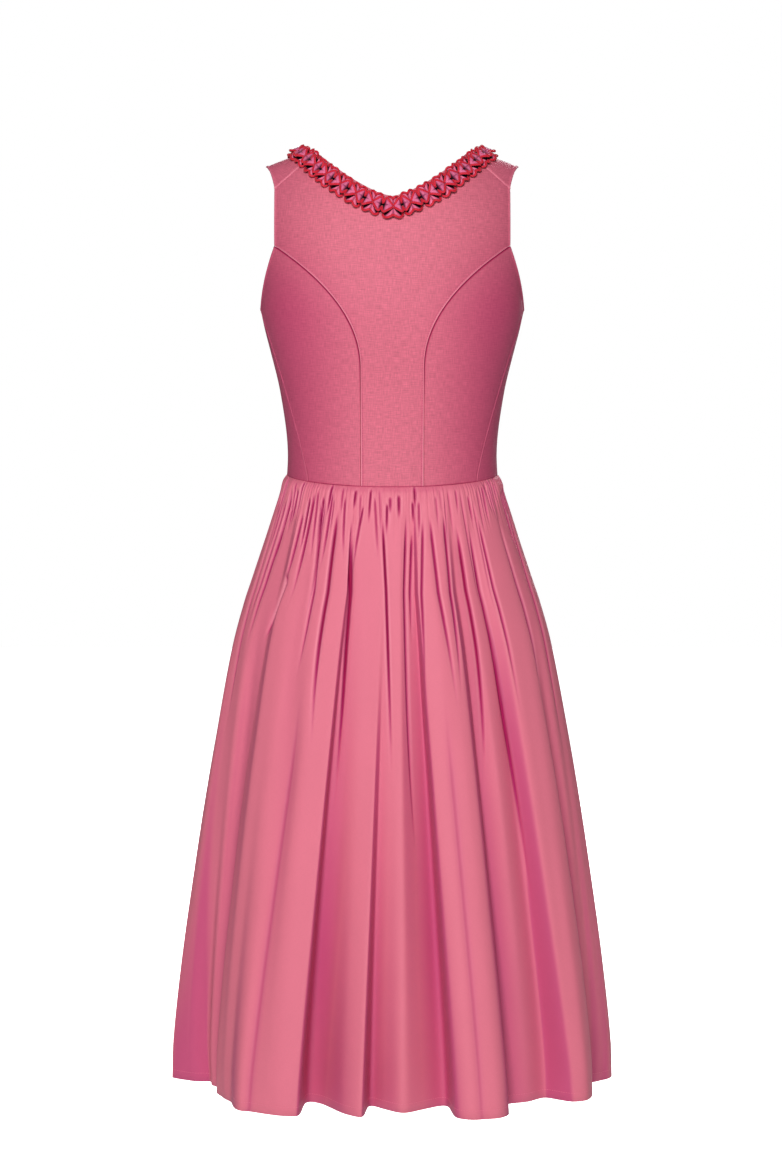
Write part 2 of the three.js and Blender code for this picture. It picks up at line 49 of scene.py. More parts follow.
def table(columns, rows):
    """A table of numbers as one array for each named column."""
    return dict(zip(columns.split(), np.array(rows, float).T))


# ---- sizes, as in the CAD model ----
ROUNDNESS = 2.3
UNDERARM = -177.0
SIDE_WAIST = -372.0
WAIST_DIP, WAIST_CURVE = 9.5, 1.5
HEM = -1103.0
SHOULDER_PEAK, SHOULDER_SLOPE, SHOULDER_BLUNT = 51.7, 0.406, 40.0
NECK_HALF = 88.5
NECK_LEVEL, NECK_RISE, NECK_POWER = -48.2, 53.5, 1.45
SHOULDER_SEAM_X, SHOULDER_SEAM_LEVEL = 137.0, -36.0
PRINCESS_WAIST_X, PRINCESS_BEND, PRINCESS_CURVE = 36.5, -245.0, 2.1
CORNER_X, CORNER_LEVEL, ARMHOLE_CURVE = 136.5, -104.0, 0.6
SIDE_SEAM_WAIST_X, UNDERARM_X, SIDE_SEAM_CURVE = 98.0, 154.2, 1.15
RUCHE_WIDTH, RUCHE_PITCH, RUCHE_INSET = 25.0, 22.5, 2.2

BODY = table("level half_width back front", [
    (-386, 124.6, 93.5, 93.5), (-372, 124.5, 93, 93), (-348, 123.8, 92, 94), (-319, 125.4, 92, 98),
    (-283, 130.6, 95, 107), (-260, 135, 98, 114), (-224, 144, 104, 123), (-201, 149.9, 107, 125),
    (-177, 155, 109, 122),
])

SKIRT = table("level half_width depth", [
    (-372, 125.5, 94), (-379, 129.5, 98), (-402, 136.5, 103), (-449, 151, 108), (-497, 166.5, 112),
    (-521, 174.5, 114), (-569, 187.5, 117), (-665, 206, 123), (-762, 223, 129), (-859, 238, 133),
    (-957, 252, 137), (-1055, 263, 139.5), (-1106, 265, 140),
])

# The skirt's folds, one row for each crest or valley: azimuth at the waist and at the hem, and reach
# out of the mean section half way down and at the hem.
FOLDS = table("top hem half full", [
    (-93, -93, 3, 3), (-80, -87, -4, -20), (-62, -79, -14, -42), (-53, -63, -18, -36), (-49, -51, 2, -8),
    (-44, -45, 6, 4), (-37, -39, 10, 31), (-27, -30, 17, 33), (-17.5, -22.4, 17, 31),
    (-15.8, -23.6, -4, -26), (-12, -19, -5, -23), (-8, -12, 2, 11), (-4, -7, 7, 26), (-2, -6, -3, -22),
    (0, -2, 0, -9), (3, 3, 5, 8), (5.5, 9, -8, -11), (8, 14.4, -14, -19), (9.5, 14.8, 12, 30),
    (15, 19, 20, 45), (20, 25, 19, 43), (23.5, 28.5, 12, 30), (26.5, 31, -9, -9), (32, 38, -2, -11),
    (38, 46, -10, -19), (43, 50.3, 6, 13), (50, 56, 9, 17), (58, 62.5, 6, 3), (61, 69, -16, -34),
    (70, 84, -8, -18), (95, 97, 3, 5), (111, 113, -8, -15), (119, 119, 10, 22), (126, 127, 8, 19),
    (130, 130, -12, -23), (139, 140, -4, -8), (145, 146, 14, 27), (152, 153.5, 13, 25),
    (156, 155, -11, -22), (164, 164, -6, -13), (170, 169, 8, 18), (176, 176, 9, 21),
    (180, 179.5, -8, -15), (187, 187, 5, 12), (194, 195, 13, 27), (199, 198, -10, -21),
    (208, 207, -5, -12), (214, 213, 15, 29), (221, 221.5, 13, 25), (226, 224, -9, -20),
    (237, 236, -3, -6), (244, 243, 10, 23), (250, 250, 7, 17), (256, 256, -8, -19),
])
RIGHT_SIDE_FOLD, FRONT_FOLD = 30, 42
FOLD_COUNT = len(FOLDS["top"])

# The fronts above the underarm: x at the neck and armhole edge, and the turn round the shoulder there. Each
# front runs past the centre by its lap, where the CAD model's stop short of it.
FRONT_LAP = 0.15
STRAP = table("neck_x neck_turn arm_x arm_turn", [
    (-FRONT_LAP, 90, 154.2, 90), (-FRONT_LAP, 84, 141, 80), (38, 81, 131, 68), (66, 71, 128, 55),
    (81, 55, 131, 42), (90, 37, 138, 28), (95, 18, 145, 14), (96.5, 4, 148.5, 3), (95, -8, 146, -10),
])
STRAP_ROWS = len(STRAP["neck_x"])
NECK_FROM_ROW = 1.02  # the row of the strap table where the neck edge leaves the centre front


# ---- the finish, which the CAD model leaves out ----
RUCHE_BAND, PIPING_RADIUS = 7.5, 1.4
NECK_BACK_SHARE = 0.36  # share of the neck's half that lies behind the shoulder
NECK_CORNER_LEVEL = 5.0  # where the strap's neck edge meets the back's
SHELL = 1.3  # thickness of the bodice's cloth
STITCH_GAP = 2.6  # from a seam to its topstitch
HEM_TURN, HEM_STITCH = 14.0, 12.0  # height of the turned hem, and of its stitching
TUCK_IN, TUCK_UP = 1.8, 1.6  # how far the skirt's top edge goes inside the waist seam
BACK_SEAM_SHARE = 0.8  # share of the centre back's grid that lies along the princess seam
FRONT_BODY_SHARE = 0.5  # share of a front's grid that lies below the underarm

# The long creases between the folds: azimuth at the upper end, half way and at the lower end, share of the
# skirt's length at which they start and end, depth, and how far the cloth slopes in on each side.
CREASES = table("top middle foot start end depth left right", [
    (-59.8, -58.2, -57, 0, 0.09, 3.6, 0.8, 0.8), (-66, -70, -72, 0.03, 0.25, 4, 1, 1),
    (-60, -66, -69, 0.02, 0.29, 4, 0.9, 1.3), (-46.8, -47.6, -49.5, 0.045, 0.18, 3.6, 0.8, 1.2),
    (-49, -52.6, -57.4, 0.145, 0.26, 11, 1.4, 1.6), (-41, -41.5, -44, 0.01, 0.2, 3.8, 0.8, 1),
    (-36, -32.8, -34.6, 0.018, 0.32, 4.8, 1.3, 0.9), (-29, -29.6, -31, 0.006, 0.14, 3.4, 0.7, 0.8),
    (-24.8, -26.4, -25.4, 0.034, 0.42, 6, 1, 1.2), (-21.4, -21, -20, 0.014, 0.12, 2.8, 0.5, 0.5),
    (-17.4, -16.8, -18.6, 0.046, 0.54, 6.2, 0.8, 1.3), (-12, -14.6, -16.8, 0.026, 0.14, 3, 0.5, 0.5),
    (-3.8, -1.6, -0.2, 0.042, 0.47, 4.6, 0.6, 0.6), (-1.7, -1.9, -2.1, 0.024, 0.08, 3, 0.4, 0.4),
    (5.4, 5.2, 7.2, 0.036, 0.6, 4.8, 0.6, 0.9), (8.1, 8.2, 8.4, 0.022, 0.06, 2.8, 0.4, 0.4),
    (7.9, 7.4, 7.2, 0.07, 0.26, 3.4, 0.7, 0.7), (12.6, 11.2, 10.6, 0.045, 0.34, 3.2, 0.7, 0.9),
    (15.6, 19, 21.6, 0.042, 0.36, 3.8, 1.5, 0.8), (22.8, 23.8, 22.8, 0.04, 0.34, 4.4, 1.2, 0.8),
    (29.4, 31.6, 29.8, 0.06, 0.5, 5.4, 2.1, 0.9), (36.8, 41.2, 45, 0.052, 0.72, 5.2, 1.1, 0.9),
    (43.2, 45.2, 46.8, 0.05, 0.38, 3.4, 0.8, 0.8), (60, 66, 61.5, 0.05, 0.52, 6, 2.4, 1),
    (-31, -36, -37.5, 0.3, 1.6, 5, 9, 13), (17, 20.5, 23, 0.32, 1.5, 3.6, 12, 8),
    (-75, -77, -78, 0.03, 0.42, 3.7, 1.3, 1), (-88, -87, -88, 0.012, 0.3, 3.4, 0.9, 1.3),
    (79, 79, 80, 0.03, 0.46, 3.8, 1.4, 0.9), (92, 94, 95, 0.012, 0.28, 3.5, 0.9, 1.3),
    (103, 105, 106, 0.024, 0.55, 7.3, 1.1, 1.6), (116, 115, 113, 0.01, 0.33, 5.8, 0.8, 0.9),
    (123, 127, 129, 0.03, 0.68, 7.8, 1.8, 0.8), (135, 134, 134, 0.014, 0.38, 6, 0.8, 1.1),
    (142, 145, 143, 0.026, 0.58, 7.3, 0.9, 1.5), (156, 155, 156, 0.02, 0.43, 6.8, 1.3, 0.8),
    (168, 166, 165, 0.012, 0.65, 7.6, 0.8, 1.4), (176, 177, 176, 0.03, 0.3, 5.4, 0.8, 0.8),
    (189, 190, 192, 0.022, 0.62, 7.6, 1.6, 0.8), (199, 198, 198, 0.01, 0.35, 6.3, 0.8, 1.1),
    (210, 211, 209, 0.03, 0.55, 6.8, 0.9, 1.4), (219, 218, 218, 0.014, 0.38, 6, 1.2, 0.8),
    (229, 227, 226, 0.024, 0.72, 8.2, 0.8, 1.9), (240, 242, 243, 0.012, 0.43, 6.5, 1.4, 0.8),
    (251, 249, 248, 0.03, 0.6, 7.1, 0.9, 1.4), (262, 263, 264, 0.014, 0.33, 5.8, 0.8, 1),
])

# How strongly the skirt is gathered round the waist: height of the fine ridges and of the longer ones.
GATHERING = table("azimuth fine long", [
    (-95, 1, 1.2), (-68, 1.1, 1.5), (-46, 1.2, 1.5), (-26, 0.9, 1), (-8, 0.7, 0.8), (6, 0.9, 0.9),
    (20, 0.5, 0.5), (36, 0.5, 0.6), (56, 0.9, 1.1), (80, 1.1, 1.3), (120, 1.5, 1.9), (180, 1.4, 1.8),
    (220, 1.5, 1.9), (235, 1, 1), (265, 1, 1),
])

# One lip of a ruche unit, from its pinch to the mouth between two units, and the outer edge of the fan
# under it, from the fan's middle to its corner: distance along the ruche, from its middle line, and height.
LIP = table("step along reach height", [
    (0, 0.3, 0.8, 3.6), (1, 2.8, 3.2, 5.4), (2, 5.8, 6.2, 6.6), (3, 8.3, 8.4, 6.8), (4, 10, 6.8, 5.8),
    (5, 11.25, 1.8, 4),
])
FAN = table("step along reach height", [
    (0, 0, 9.4, 3.6), (1, 2, 10.9, 4.2), (2, 4.4, 12.6, 3.6), (3, 6.8, 12.5, 2.6), (4, 8.7, 10.6, 1.8),
    (5, 8.9, 8.6, 1.4),
])

# How the cloth lies beside an edge: how deep and how far it rolls in there, the height of a double turned
# edge, and the soft ridges beside it, each with its height, distance from the edge and width.
EDGES = {
    "sewn": (0.9, 0.5, 0.0, [(0.6, 1.1, 0.8), (-0.35, STITCH_GAP, 0.45)]),
    "pressed": (0.9, 0.8, 0.0, [(0.15, 1.8, 1.2)]),
    "turned": (0.5, 0.8, 0.75, [(-0.25, 3.2, 0.5)]),
    "waist": (0.6, 0.9, 0.0, [(0.2, 2.0, 1.4)]),
}
TURNED_STEP = 2.2, 3.1  # where a double edge steps down to the single cloth

PINK = (0.74, 0.202, 0.278)
BODICE_PINK = (0.675, 0.176, 0.244)
# painted highlight colour, for seam ridges and the rims of creases
HIGHLIGHT_PINK = (0.86, 0.31, 0.39)
# painted shade colour of the skirt's hollows and fold flanks
SKIRT_SHADE_MAGENTA = (0.45, 0.016, 0.178)
# painted shade colour of the bodice's sides, seams and waist
BODICE_SHADE = (0.42, 0.018, 0.125)
# painted shade colour of dark lines in creases and seams
DARK_LINE_WINE = (0.36, 0.005, 0.075)
# near-black painted shade in the deepest creases and in the ruche's gaps
DEEP_SHADE_PLUM = (0.016, 0.0006, 0.008)
FRILL_PINK = (0.80, 0.19, 0.33)
# painted shade colour of the ruche
FRILL_SHADE = (0.40, 0.02, 0.17)
PIPING_RED = (0.66, 0.005, 0.035)
THREAD_PINK = (0.80, 0.20, 0.30)


# ---- curves and blends ----
def lerp(a, b, f):
    return a + (b - a) * f


def smoothstep(low, high, value):
    f = np.clip((value - low) / (high - low), 0, 1)
    return f * f * (3 - 2 * f)


def bell(off, width):
    """1 where off is 0, falling away smoothly on both sides."""
    return np.exp(-(off / width) ** 2)


def hermite(f, a, b, out, into):
    f2, f3 = f * f, f * f * f
    return (2 * f3 - 3 * f2 + 1) * a + (f3 - 2 * f2 + f) * out + (3 * f2 - 2 * f3) * b + (f3 - f2) * into


def along_table(tab, column, at):
    """A column of a table as a smooth function of the table's first column."""
    keys, values = next(iter(tab.values())), tab[column]
    if keys[-1] < keys[0]:
        keys, values = keys[::-1], values[::-1]
    slopes = np.empty_like(values)
    slopes[1:-1] = (values[2:] - values[:-2]) / (keys[2:] - keys[:-2])
    slopes[0] = (values[1] - values[0]) / (keys[1] - keys[0])
    slopes[-1] = (values[-1] - values[-2]) / (keys[-1] - keys[-2])
    i = np.clip(np.searchsorted(keys, at, side="right") - 1, 0, len(keys) - 2)
    span = keys[i + 1] - keys[i]
    f = np.clip((at - keys[i]) / span, 0, 1)
    return hermite(f, values[i], values[i + 1], span * slopes[i], span * slopes[i + 1])


def unit(vectors):
    return vectors / np.maximum(np.linalg.norm(vectors, axis=-1, keepdims=True), 1e-9)


def run_along(steps):
    """The run at each point of a line, given the steps between them."""
    return np.concatenate([[0], np.cumsum(steps)])


def line_at(run, known, line):
    """Points of a line at a run along it, from its points at known runs."""
    return np.stack([np.interp(run, known, line[:, k]) for k in range(3)], axis=-1)


def ripple(angle, seed, waves):
    """A smooth uneven wave of about -1 to 1 that closes after 360 degrees."""
    dice = np.random.RandomState(seed)
    total = np.zeros_like(angle, dtype=float)
    for _ in range(7):
        count = round(waves * (1 + 0.5 * dice.uniform(-1, 1)))
        total += dice.uniform(0.5, 1) * np.sin(np.radians(angle * count) + dice.uniform(0, 2 * math.pi))
    return total / 3.2


# ---- the body ----
def waist_level(azimuth):
    return SIDE_WAIST - WAIST_DIP * np.abs(np.cos(azimuth)) ** WAIST_CURVE


def shoulder_level(x):
    return SHOULDER_PEAK - SHOULDER_SLOPE * np.hypot(x, SHOULDER_BLUNT)


def round_off(x, half_width):
    share = np.minimum(np.abs(x) / half_width, 1)
    return (1 - share ** ROUNDNESS) ** (1 / ROUNDNESS)


def body_at(column, level):
    return along_table(BODY, column, level)


def body_depth(behind, level):
    return np.where(behind, body_at("back", level), body_at("front", level))


def oval(azimuth, half_width, depth, roundness):
    """The x and y of a rounded section at an azimuth."""
    side, back = np.sin(azimuth), np.cos(azimuth)
    x = np.sign(side) * half_width * np.abs(side) ** (2 / roundness)
    return x, -np.sign(back) * depth * np.abs(back) ** (2 / roundness)


def trunk(azimuth, level):
    depth = body_depth(np.cos(azimuth) > 0, level)
    x, y = oval(azimuth, body_at("half_width", level), depth, ROUNDNESS)
    return np.stack([x, y, level + 0 * x], axis=-1)


CHEST_HALF = float(body_at("half_width", np.array(UNDERARM)))


def shoulder(x, turn):
    depth = body_depth(turn < 0, np.full(np.shape(turn), UNDERARM))
    rise = shoulder_level(x) - UNDERARM
    y = depth * round_off(x, CHEST_HALF) * np.sin(turn)
    return np.stack([x + 0 * y, y, UNDERARM + rise * np.cos(turn)], axis=-1)


def back_turn(x, level):
    return -np.arccos(np.clip((level - UNDERARM) / (shoulder_level(x) - UNDERARM), -1, 1))


def back_point(x, level):
    y = -body_at("back", level) * round_off(x, body_at("half_width", level))
    low = np.stack([x, y, level], axis=-1)
    return np.where((level > UNDERARM)[..., None], shoulder(x, back_turn(x, level)), low)


def azimuth_of(x, level):
    share = np.minimum(x / body_at("half_width", level), 1)
    return np.arcsin(share ** (ROUNDNESS / 2))


def princess_x(level):
    climb = np.maximum((level - PRINCESS_BEND) / (CORNER_LEVEL - PRINCESS_BEND), 0)
    return PRINCESS_WAIST_X + (CORNER_X - PRINCESS_WAIST_X) * climb ** PRINCESS_CURVE


def side_seam_x(level):
    climb = np.maximum((level - SIDE_WAIST) / (UNDERARM - SIDE_WAIST), 0)
    return lerp(SIDE_SEAM_WAIST_X, UNDERARM_X, climb ** SIDE_SEAM_CURVE)


def back_neck_level(x):
    return NECK_LEVEL + NECK_RISE * (np.abs(x) / NECK_HALF) ** NECK_POWER


def shoulder_seam_level(x):
    along = (x - NECK_HALF) / (SHOULDER_SEAM_X - NECK_HALF)
    return lerp(back_neck_level(np.array(NECK_HALF)), SHOULDER_SEAM_LEVEL, along)


WAIST_AT_PRINCESS = float(waist_level(azimuth_of(np.array(PRINCESS_WAIST_X), SIDE_WAIST)))
WAIST_AT_SIDE_SEAM = float(waist_level(azimuth_of(np.array(SIDE_SEAM_WAIST_X), SIDE_WAIST)))


# ---- the panels' grids ----
def edge_dense(count, finest=0.0016):
    """Grid lines from 0 to 1 that crowd towards both ends, where the seams are."""
    near = finest * np.array([0, 1, 2, 3.2, 4.8, 7, 10, 14, 19, 25, 33])
    middle = np.linspace(near[-1], 1 - near[-1], count)
    return np.concatenate([near[:-1], middle, (1 - near[:-1])[::-1]])


def back_center_grid():
    seam = BACK_SEAM_SHARE
    v = np.concatenate([edge_dense(110) * seam, lerp(seam, 1, edge_dense(26))[1:]])
    u = edge_dense(130, 0.0012)
    uu, vv = np.meshgrid(u, v)
    climb = np.clip((vv - seam) / (1 - seam), 0, 1)
    seam_level = lerp(WAIST_AT_PRINCESS, CORNER_LEVEL, np.minimum(vv / seam, 1))
    level = np.where(vv <= seam, seam_level, lerp(CORNER_LEVEL, SHOULDER_SEAM_LEVEL, climb))
    armhole_x = lerp(CORNER_X, SHOULDER_SEAM_X, climb ** ARMHOLE_CURVE)
    edge_x = np.where(vv <= seam, princess_x(seam_level), armhole_x)
    across = 2 * uu - 1
    rise = (level - WAIST_AT_PRINCESS) / (SHOULDER_SEAM_LEVEL - WAIST_AT_PRINCESS)
    bottom = waist_level(azimuth_of(np.abs(PRINCESS_WAIST_X * across), SIDE_WAIST))
    top_x = np.abs(across * SHOULDER_SEAM_X)
    top = np.where(top_x < NECK_HALF, back_neck_level(top_x), shoulder_seam_level(top_x))
    points = back_point(across * edge_x, lerp(bottom, top, rise))
    return points, uu, vv, top_x


def back_side_grid():
    uu, vv = np.meshgrid(edge_dense(60, 0.0035), edge_dense(120))
    inner_level = lerp(WAIST_AT_PRINCESS, CORNER_LEVEL, vv)
    outer_level = lerp(WAIST_AT_SIDE_SEAM, UNDERARM, vv)
    inner = azimuth_of(princess_x(inner_level), np.minimum(inner_level, UNDERARM))
    outer = azimuth_of(side_seam_x(outer_level), outer_level)
    level, azimuth = lerp(inner_level, outer_level, uu), lerp(inner, outer, uu)
    x = CHEST_HALF * np.sin(azimuth) ** (2 / ROUNDNESS)
    high = shoulder(x, back_turn(x, level))
    return np.where((level > UNDERARM)[..., None], high, trunk(azimuth, level)), uu, vv


def front_grid():
    body = FRONT_BODY_SHARE
    v = np.concatenate([edge_dense(70) * body, lerp(body, 1, edge_dense(120, 0.001))[1:]])
    uu, vv = np.meshgrid(edge_dense(84, 0.003), v)
    low = np.minimum(vv / body, 1)
    waist_azimuth = azimuth_of(np.array(SIDE_SEAM_WAIST_X), SIDE_WAIST)
    side_level = lerp(WAIST_AT_SIDE_SEAM, UNDERARM, low)
    center = math.pi + azimuth_of(np.array(FRONT_LAP), SIDE_WAIST)
    azimuth = lerp(center, azimuth_of(side_seam_x(side_level), side_level), uu)
    level = lerp(waist_level(lerp(center, waist_azimuth, uu)), UNDERARM, low)
    below = trunk(azimuth, level)

    row = np.maximum(vv - body, 0) / (1 - body) * STRAP_ROWS
    i = np.clip(np.floor(row).astype(int), 0, STRAP_ROWS - 2)
    part = np.minimum(row, STRAP_ROWS - 1) - i
    strap = {name: lerp(values[i], values[i + 1], part) for name, values in STRAP.items()}
    straight = lerp(strap["neck_x"], strap["arm_x"], uu)
    rounded = CHEST_HALF * np.sin(azimuth_of(strap["arm_x"], UNDERARM) * uu) ** (2 / ROUNDNESS)
    x = lerp(straight, np.maximum(rounded, -FRONT_LAP), np.maximum(1 - row, 0))
    turn = np.radians(lerp(strap["neck_turn"], strap["arm_turn"], uu))
    last = np.clip(row - (STRAP_ROWS - 1), 0, 1)
    seam_x = lerp(NECK_HALF, SHOULDER_SEAM_X, uu)
    x = lerp(x, seam_x, last)
    turn = lerp(turn, back_turn(seam_x, shoulder_seam_level(seam_x)), last)
    return np.where((vv <= body)[..., None], below, shoulder(x, turn)), uu, vv


# ---- working on grids ----
def grid_normals(points, outward):
    normals = unit(np.cross(np.gradient(points, axis=1), np.gradient(points, axis=0)))
    return normals if outward else -normals


def run_lengths(points, axis):
    """The length along the cloth from the first line of the grid, for every point."""
    step = np.linalg.norm(np.diff(points, axis=axis), axis=-1)
    pad = [(0, 0), (0, 0)]
    pad[axis] = (1, 0)
    return np.pad(np.cumsum(step, axis=axis), pad)


def edge_gaps(points):
    """The distance of every point from each edge of the grid."""
    across, up = run_lengths(points, 1), run_lengths(points, 0)
    return {"left": across, "right": across[:, -1:] - across, "low": up, "high": up[-1:, :] - up}


def edge_lift(finish, gap):
    """The relief of the cloth beside an edge with a finish from the table."""
    depth, reach, double, ridges = EDGES[finish]
    lift = double * (1 - smoothstep(*TURNED_STEP, gap)) - depth * np.clip(1 - gap / reach, 0, 1) ** 2
    for height, distance, width in ridges:
        lift = lift + height * bell(gap - distance, width)
    return lift


# ---- meshes ----
# mesh attributes for painted shade, painted dark lines and painted highlight
SHADES = ("hollow", "crease", "ridge")
STITCH_RINGS = ((-0.25, 0.55), (0.22, 1.0), (-0.25, 0.55))  # a stitch's start, middle and end: lift and size
STITCH_SIDES, THREAD_RADIUS = 5, 0.26


def cloth_map(points):
    """The lengths along the cloth from a grid's first lines, as map coordinates in millimetres."""
    return np.stack([run_lengths(points, 1), run_lengths(points, 0)], axis=-1)


def cloth_grid(points, outward=True, uv=None, **shades):
    """One grid of points for a cloth mesh, with its map and its painted shade and highlight, named as in
    SHADES.
    """
    if uv is None:
        uv = cloth_map(points)
    return {"points": points, "outward": outward, "uv": uv, "shades": shades}


def smooth_mesh(name, points, faces, material):
    mesh = bpy.data.meshes.new(name)
    mesh.from_pydata(points * MM, [], faces)
    mesh.polygons.foreach_set("use_smooth", np.ones(len(faces), dtype=bool))
    mesh.materials.append(material)
    return mesh


def cloth_object(name, grids, material):
    """A cloth mesh from grids of points in millimetres."""
    quads, start = [], 0
    for grid in grids:
        rows, columns = grid["points"].shape[:2]
        index = start + np.arange(rows * columns).reshape(rows, columns)
        corners = [index[:-1, :-1], index[:-1, 1:], index[1:, 1:], index[1:, :-1]]
        quads.append(np.stack(corners if grid["outward"] else corners[::-1], axis=-1).reshape(-1, 4))
        start += rows * columns
    quads = np.concatenate(quads)
    points = np.concatenate([grid["points"].reshape(-1, 3) for grid in grids])
    uv = np.concatenate([grid["uv"].reshape(-1, 2) for grid in grids])
    mesh = smooth_mesh(name, points, quads.tolist(), material)
    layer = mesh.uv_layers.new(name="cloth")
    layer.data.foreach_set("uv", (uv[quads.reshape(-1)] * MM).reshape(-1).astype(np.float32))
    for shade in SHADES:
        values = [np.broadcast_to(grid["shades"].get(shade, 0.0), grid["points"].shape[:2]) for grid in grids]
        values = np.concatenate([part.reshape(-1) for part in values])
        attribute = mesh.attributes.new(shade, "FLOAT", "POINT")
        attribute.data.foreach_set("value", np.clip(values, 0, 1).astype(np.float32))
    return finish_piece(mesh)


def finish_piece(mesh):
    mesh.validate()
    obj = bpy.data.objects.new(mesh.name, mesh)
    bpy.context.collection.objects.link(obj)
    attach(obj, "root")
    return obj


def tube_grid(path, radius, sides):
    """A round cord along a path of points in millimetres."""
    tangent = unit(np.gradient(path, axis=0))
    first = unit(np.cross(tangent, np.array([0.1, 0.35, 1.0])))
    second = np.cross(tangent, first)
    turn = np.linspace(0, 2 * math.pi, sides + 1)
    ring = np.cos(turn)[None, :, None] * first[:, None, :] + np.sin(turn)[None, :, None] * second[:, None, :]
    return cloth_grid(path[:, None, :] + radius * ring, False)


def stitch_points(spots, normal):
    """The rings of points round one sewn thread, given its start, middle and end."""
    side = unit(np.cross(unit(spots[2] - spots[0]), normal))
    points = []
    for spot, (lift, size) in zip(spots, STITCH_RINGS):
        for k in range(STITCH_SIDES):
            angle = k * 2 * math.pi / STITCH_SIDES
            offset = THREAD_RADIUS * size * (math.cos(angle) * side + math.sin(angle) * normal)
            points.append(spot + normal * lift * THREAD_RADIUS + offset)
    return points


def stitches(name, lines, pitch, length, material):
    """Rows of short sewn threads along lines of (points, normals), in millimetres."""
    sides = STITCH_SIDES
    last = (len(STITCH_RINGS) - 1) * sides
    shape = [(r + k, r + (k + 1) % sides, r + (k + 1) % sides + sides, r + k + sides)
             for r in range(0, last, sides) for k in range(sides)]
    shape += [tuple(reversed(range(sides))), tuple(range(last, last + sides))]
    vertices, faces = [], []
    for points, normals in lines:
        run = run_along(np.linalg.norm(np.diff(points, axis=0), axis=1))
        for start in np.arange(pitch * 0.5, run[-1] - length, pitch):
            stops = start + length * np.array([0, 0.5, 1])
            faces += [tuple(len(vertices) + k for k in face) for face in shape]
            vertices += stitch_points(line_at(stops, run, points), line_at(stops[1], run, normals))
    return finish_piece(smooth_mesh(name, np.array(vertices), faces, material))


# ---- materials ----
class Nodes:
    """The node tree of a material or world, with short calls to add to it."""

    def __init__(self, owner, shader="Principled BSDF"):
        owner.use_nodes = True
        self.owner, self.tree = owner, owner.node_tree
        self.shader = self.tree.nodes[shader]

    def add(self, kind, inputs=None, **settings):
        node = self.tree.nodes.new("ShaderNode" + kind)
        for key, value in settings.items():
            setattr(node, key, value)
        for key, value in (inputs or {}).items():
            if isinstance(value, bpy.types.NodeSocket):
                self.tree.links.new(value, node.inputs[key])
            else:
                node.inputs[key].default_value = value
        return node

    def math(self, operation, a, b=0.0, clamp=False):
        return self.add("Math", {0: a, 1: b}, operation=operation, use_clamp=clamp).outputs[0]

    def mix(self, factor, a, b, blend="MIX"):
        return self.add("Mix", {0: factor, 6: a, 7: b}, data_type="RGBA", blend_type=blend).outputs[2]

    def shade(self, name):
        return self.add("Attribute", attribute_name=name, attribute_type="GEOMETRY").outputs["Fac"]

    def seen_by_camera(self):
        return self.add("LightPath").outputs["Is Camera Ray"]

    def mapped(self, across, up):
        uv = self.add("UVMap", uv_map="cloth").outputs["UV"]
        return self.add("Mapping", {"Vector": uv, "Scale": (across, up, 1.0)}).outputs["Vector"]

    def noise(self, across, up, detail):
        """Noise with its scales across and up the cloth, per metre."""
        inputs = {"Vector": self.mapped(across, up), "Scale": 1.0, "Detail": detail, "Roughness": 0.5}
        return self.add("TexNoise", inputs, noise_dimensions="2D").outputs["Fac"]

    def link(self, output, socket):
        self.tree.links.new(output, self.shader.inputs[socket])

    def bump(self, height, strength, distance):
        bump = self.add("Bump", {"Strength": strength, "Distance": distance, "Height": height})
        self.link(bump.outputs["Normal"], "Normal")

    def surface(self, **values):
        """Sets plain values of the shader, with _ for a space in their names."""
        for name, value in values.items():
            self.shader.inputs[name.replace("_", " ")].default_value = value


def rgba(color, gain=1.0):
    return (color[0] * gain, color[1] * gain, color[2] * gain, 1.0)


def cloth_material(name, color, deep, darkest_shade, pitch, slub, mottle, relief, gloss):
    """Plain-woven cloth: threads at a pitch in millimetres, uneven in streaks (slub) and clouds (mottle); the
    deep and darkest colours are painted shade.
    """
    n = Nodes(bpy.data.materials.new(name))
    threads = 1.0 / (pitch * MM)
    warp = n.noise(threads * 0.9, threads * 0.09, 1.0)
    weft = n.noise(threads * 0.08, threads * 0.85, 1.0)
    streaks = n.math("SUBTRACT", n.math("ADD", warp, weft), 1.0)
    cloud = n.math("SUBTRACT", n.noise(16.0, 11.0, 3.0), 0.5)
    shade = n.math("ADD", n.math("MULTIPLY", streaks, slub), n.math("MULTIPLY", cloud, mottle))
    shade = n.math("ADD", shade, 1.0)
    tone = n.add("CombineColor", {0: shade, 1: shade, 2: shade}).outputs[0]
    plain = n.mix(1.0, rgba(color), tone, "MULTIPLY")
    # the mesh's attributes mix painted highlight, painted shade, painted dark lines and near-black painted
    # pits into the colour
    hollow, crease, ridge = [n.shade(kind) for kind in SHADES]
    plain = n.mix(ridge, plain, rgba(HIGHLIGHT_PINK))
    line = n.math("MULTIPLY", crease, 1.5, clamp=True)
    pit_shade = n.math("MULTIPLY", n.math("SUBTRACT", crease, 0.85), 6.0, clamp=True)
    shaded = n.mix(line, n.mix(hollow, plain, rgba(deep)), rgba(darkest_shade))
    n.link(n.mix(pit_shade, shaded, rgba(DEEP_SHADE_PLUM)), "Base Color")
    uv = n.add("SeparateXYZ", {0: n.mapped(1.0, 1.0)})
    over, under = [
        n.math("ABSOLUTE", n.math("SINE", n.math("MULTIPLY", direction, math.pi * threads)))
        for direction in (uv.outputs[0], uv.outputs[1])
    ]
    weave = n.math("MULTIPLY", n.math("ADD", over, under), 0.5)
    n.bump(n.math("ADD", weave, n.math("MULTIPLY", streaks, 0.6)), relief, pitch * MM * 0.5)
    n.surface(Roughness=0.55, Specular_IOR_Level=gloss, Sheen_Weight=0.04, Sheen_Roughness=0.45)
    n.surface(Sheen_Tint=rgba((1.0, 0.55, 0.66)))
    return n.owner


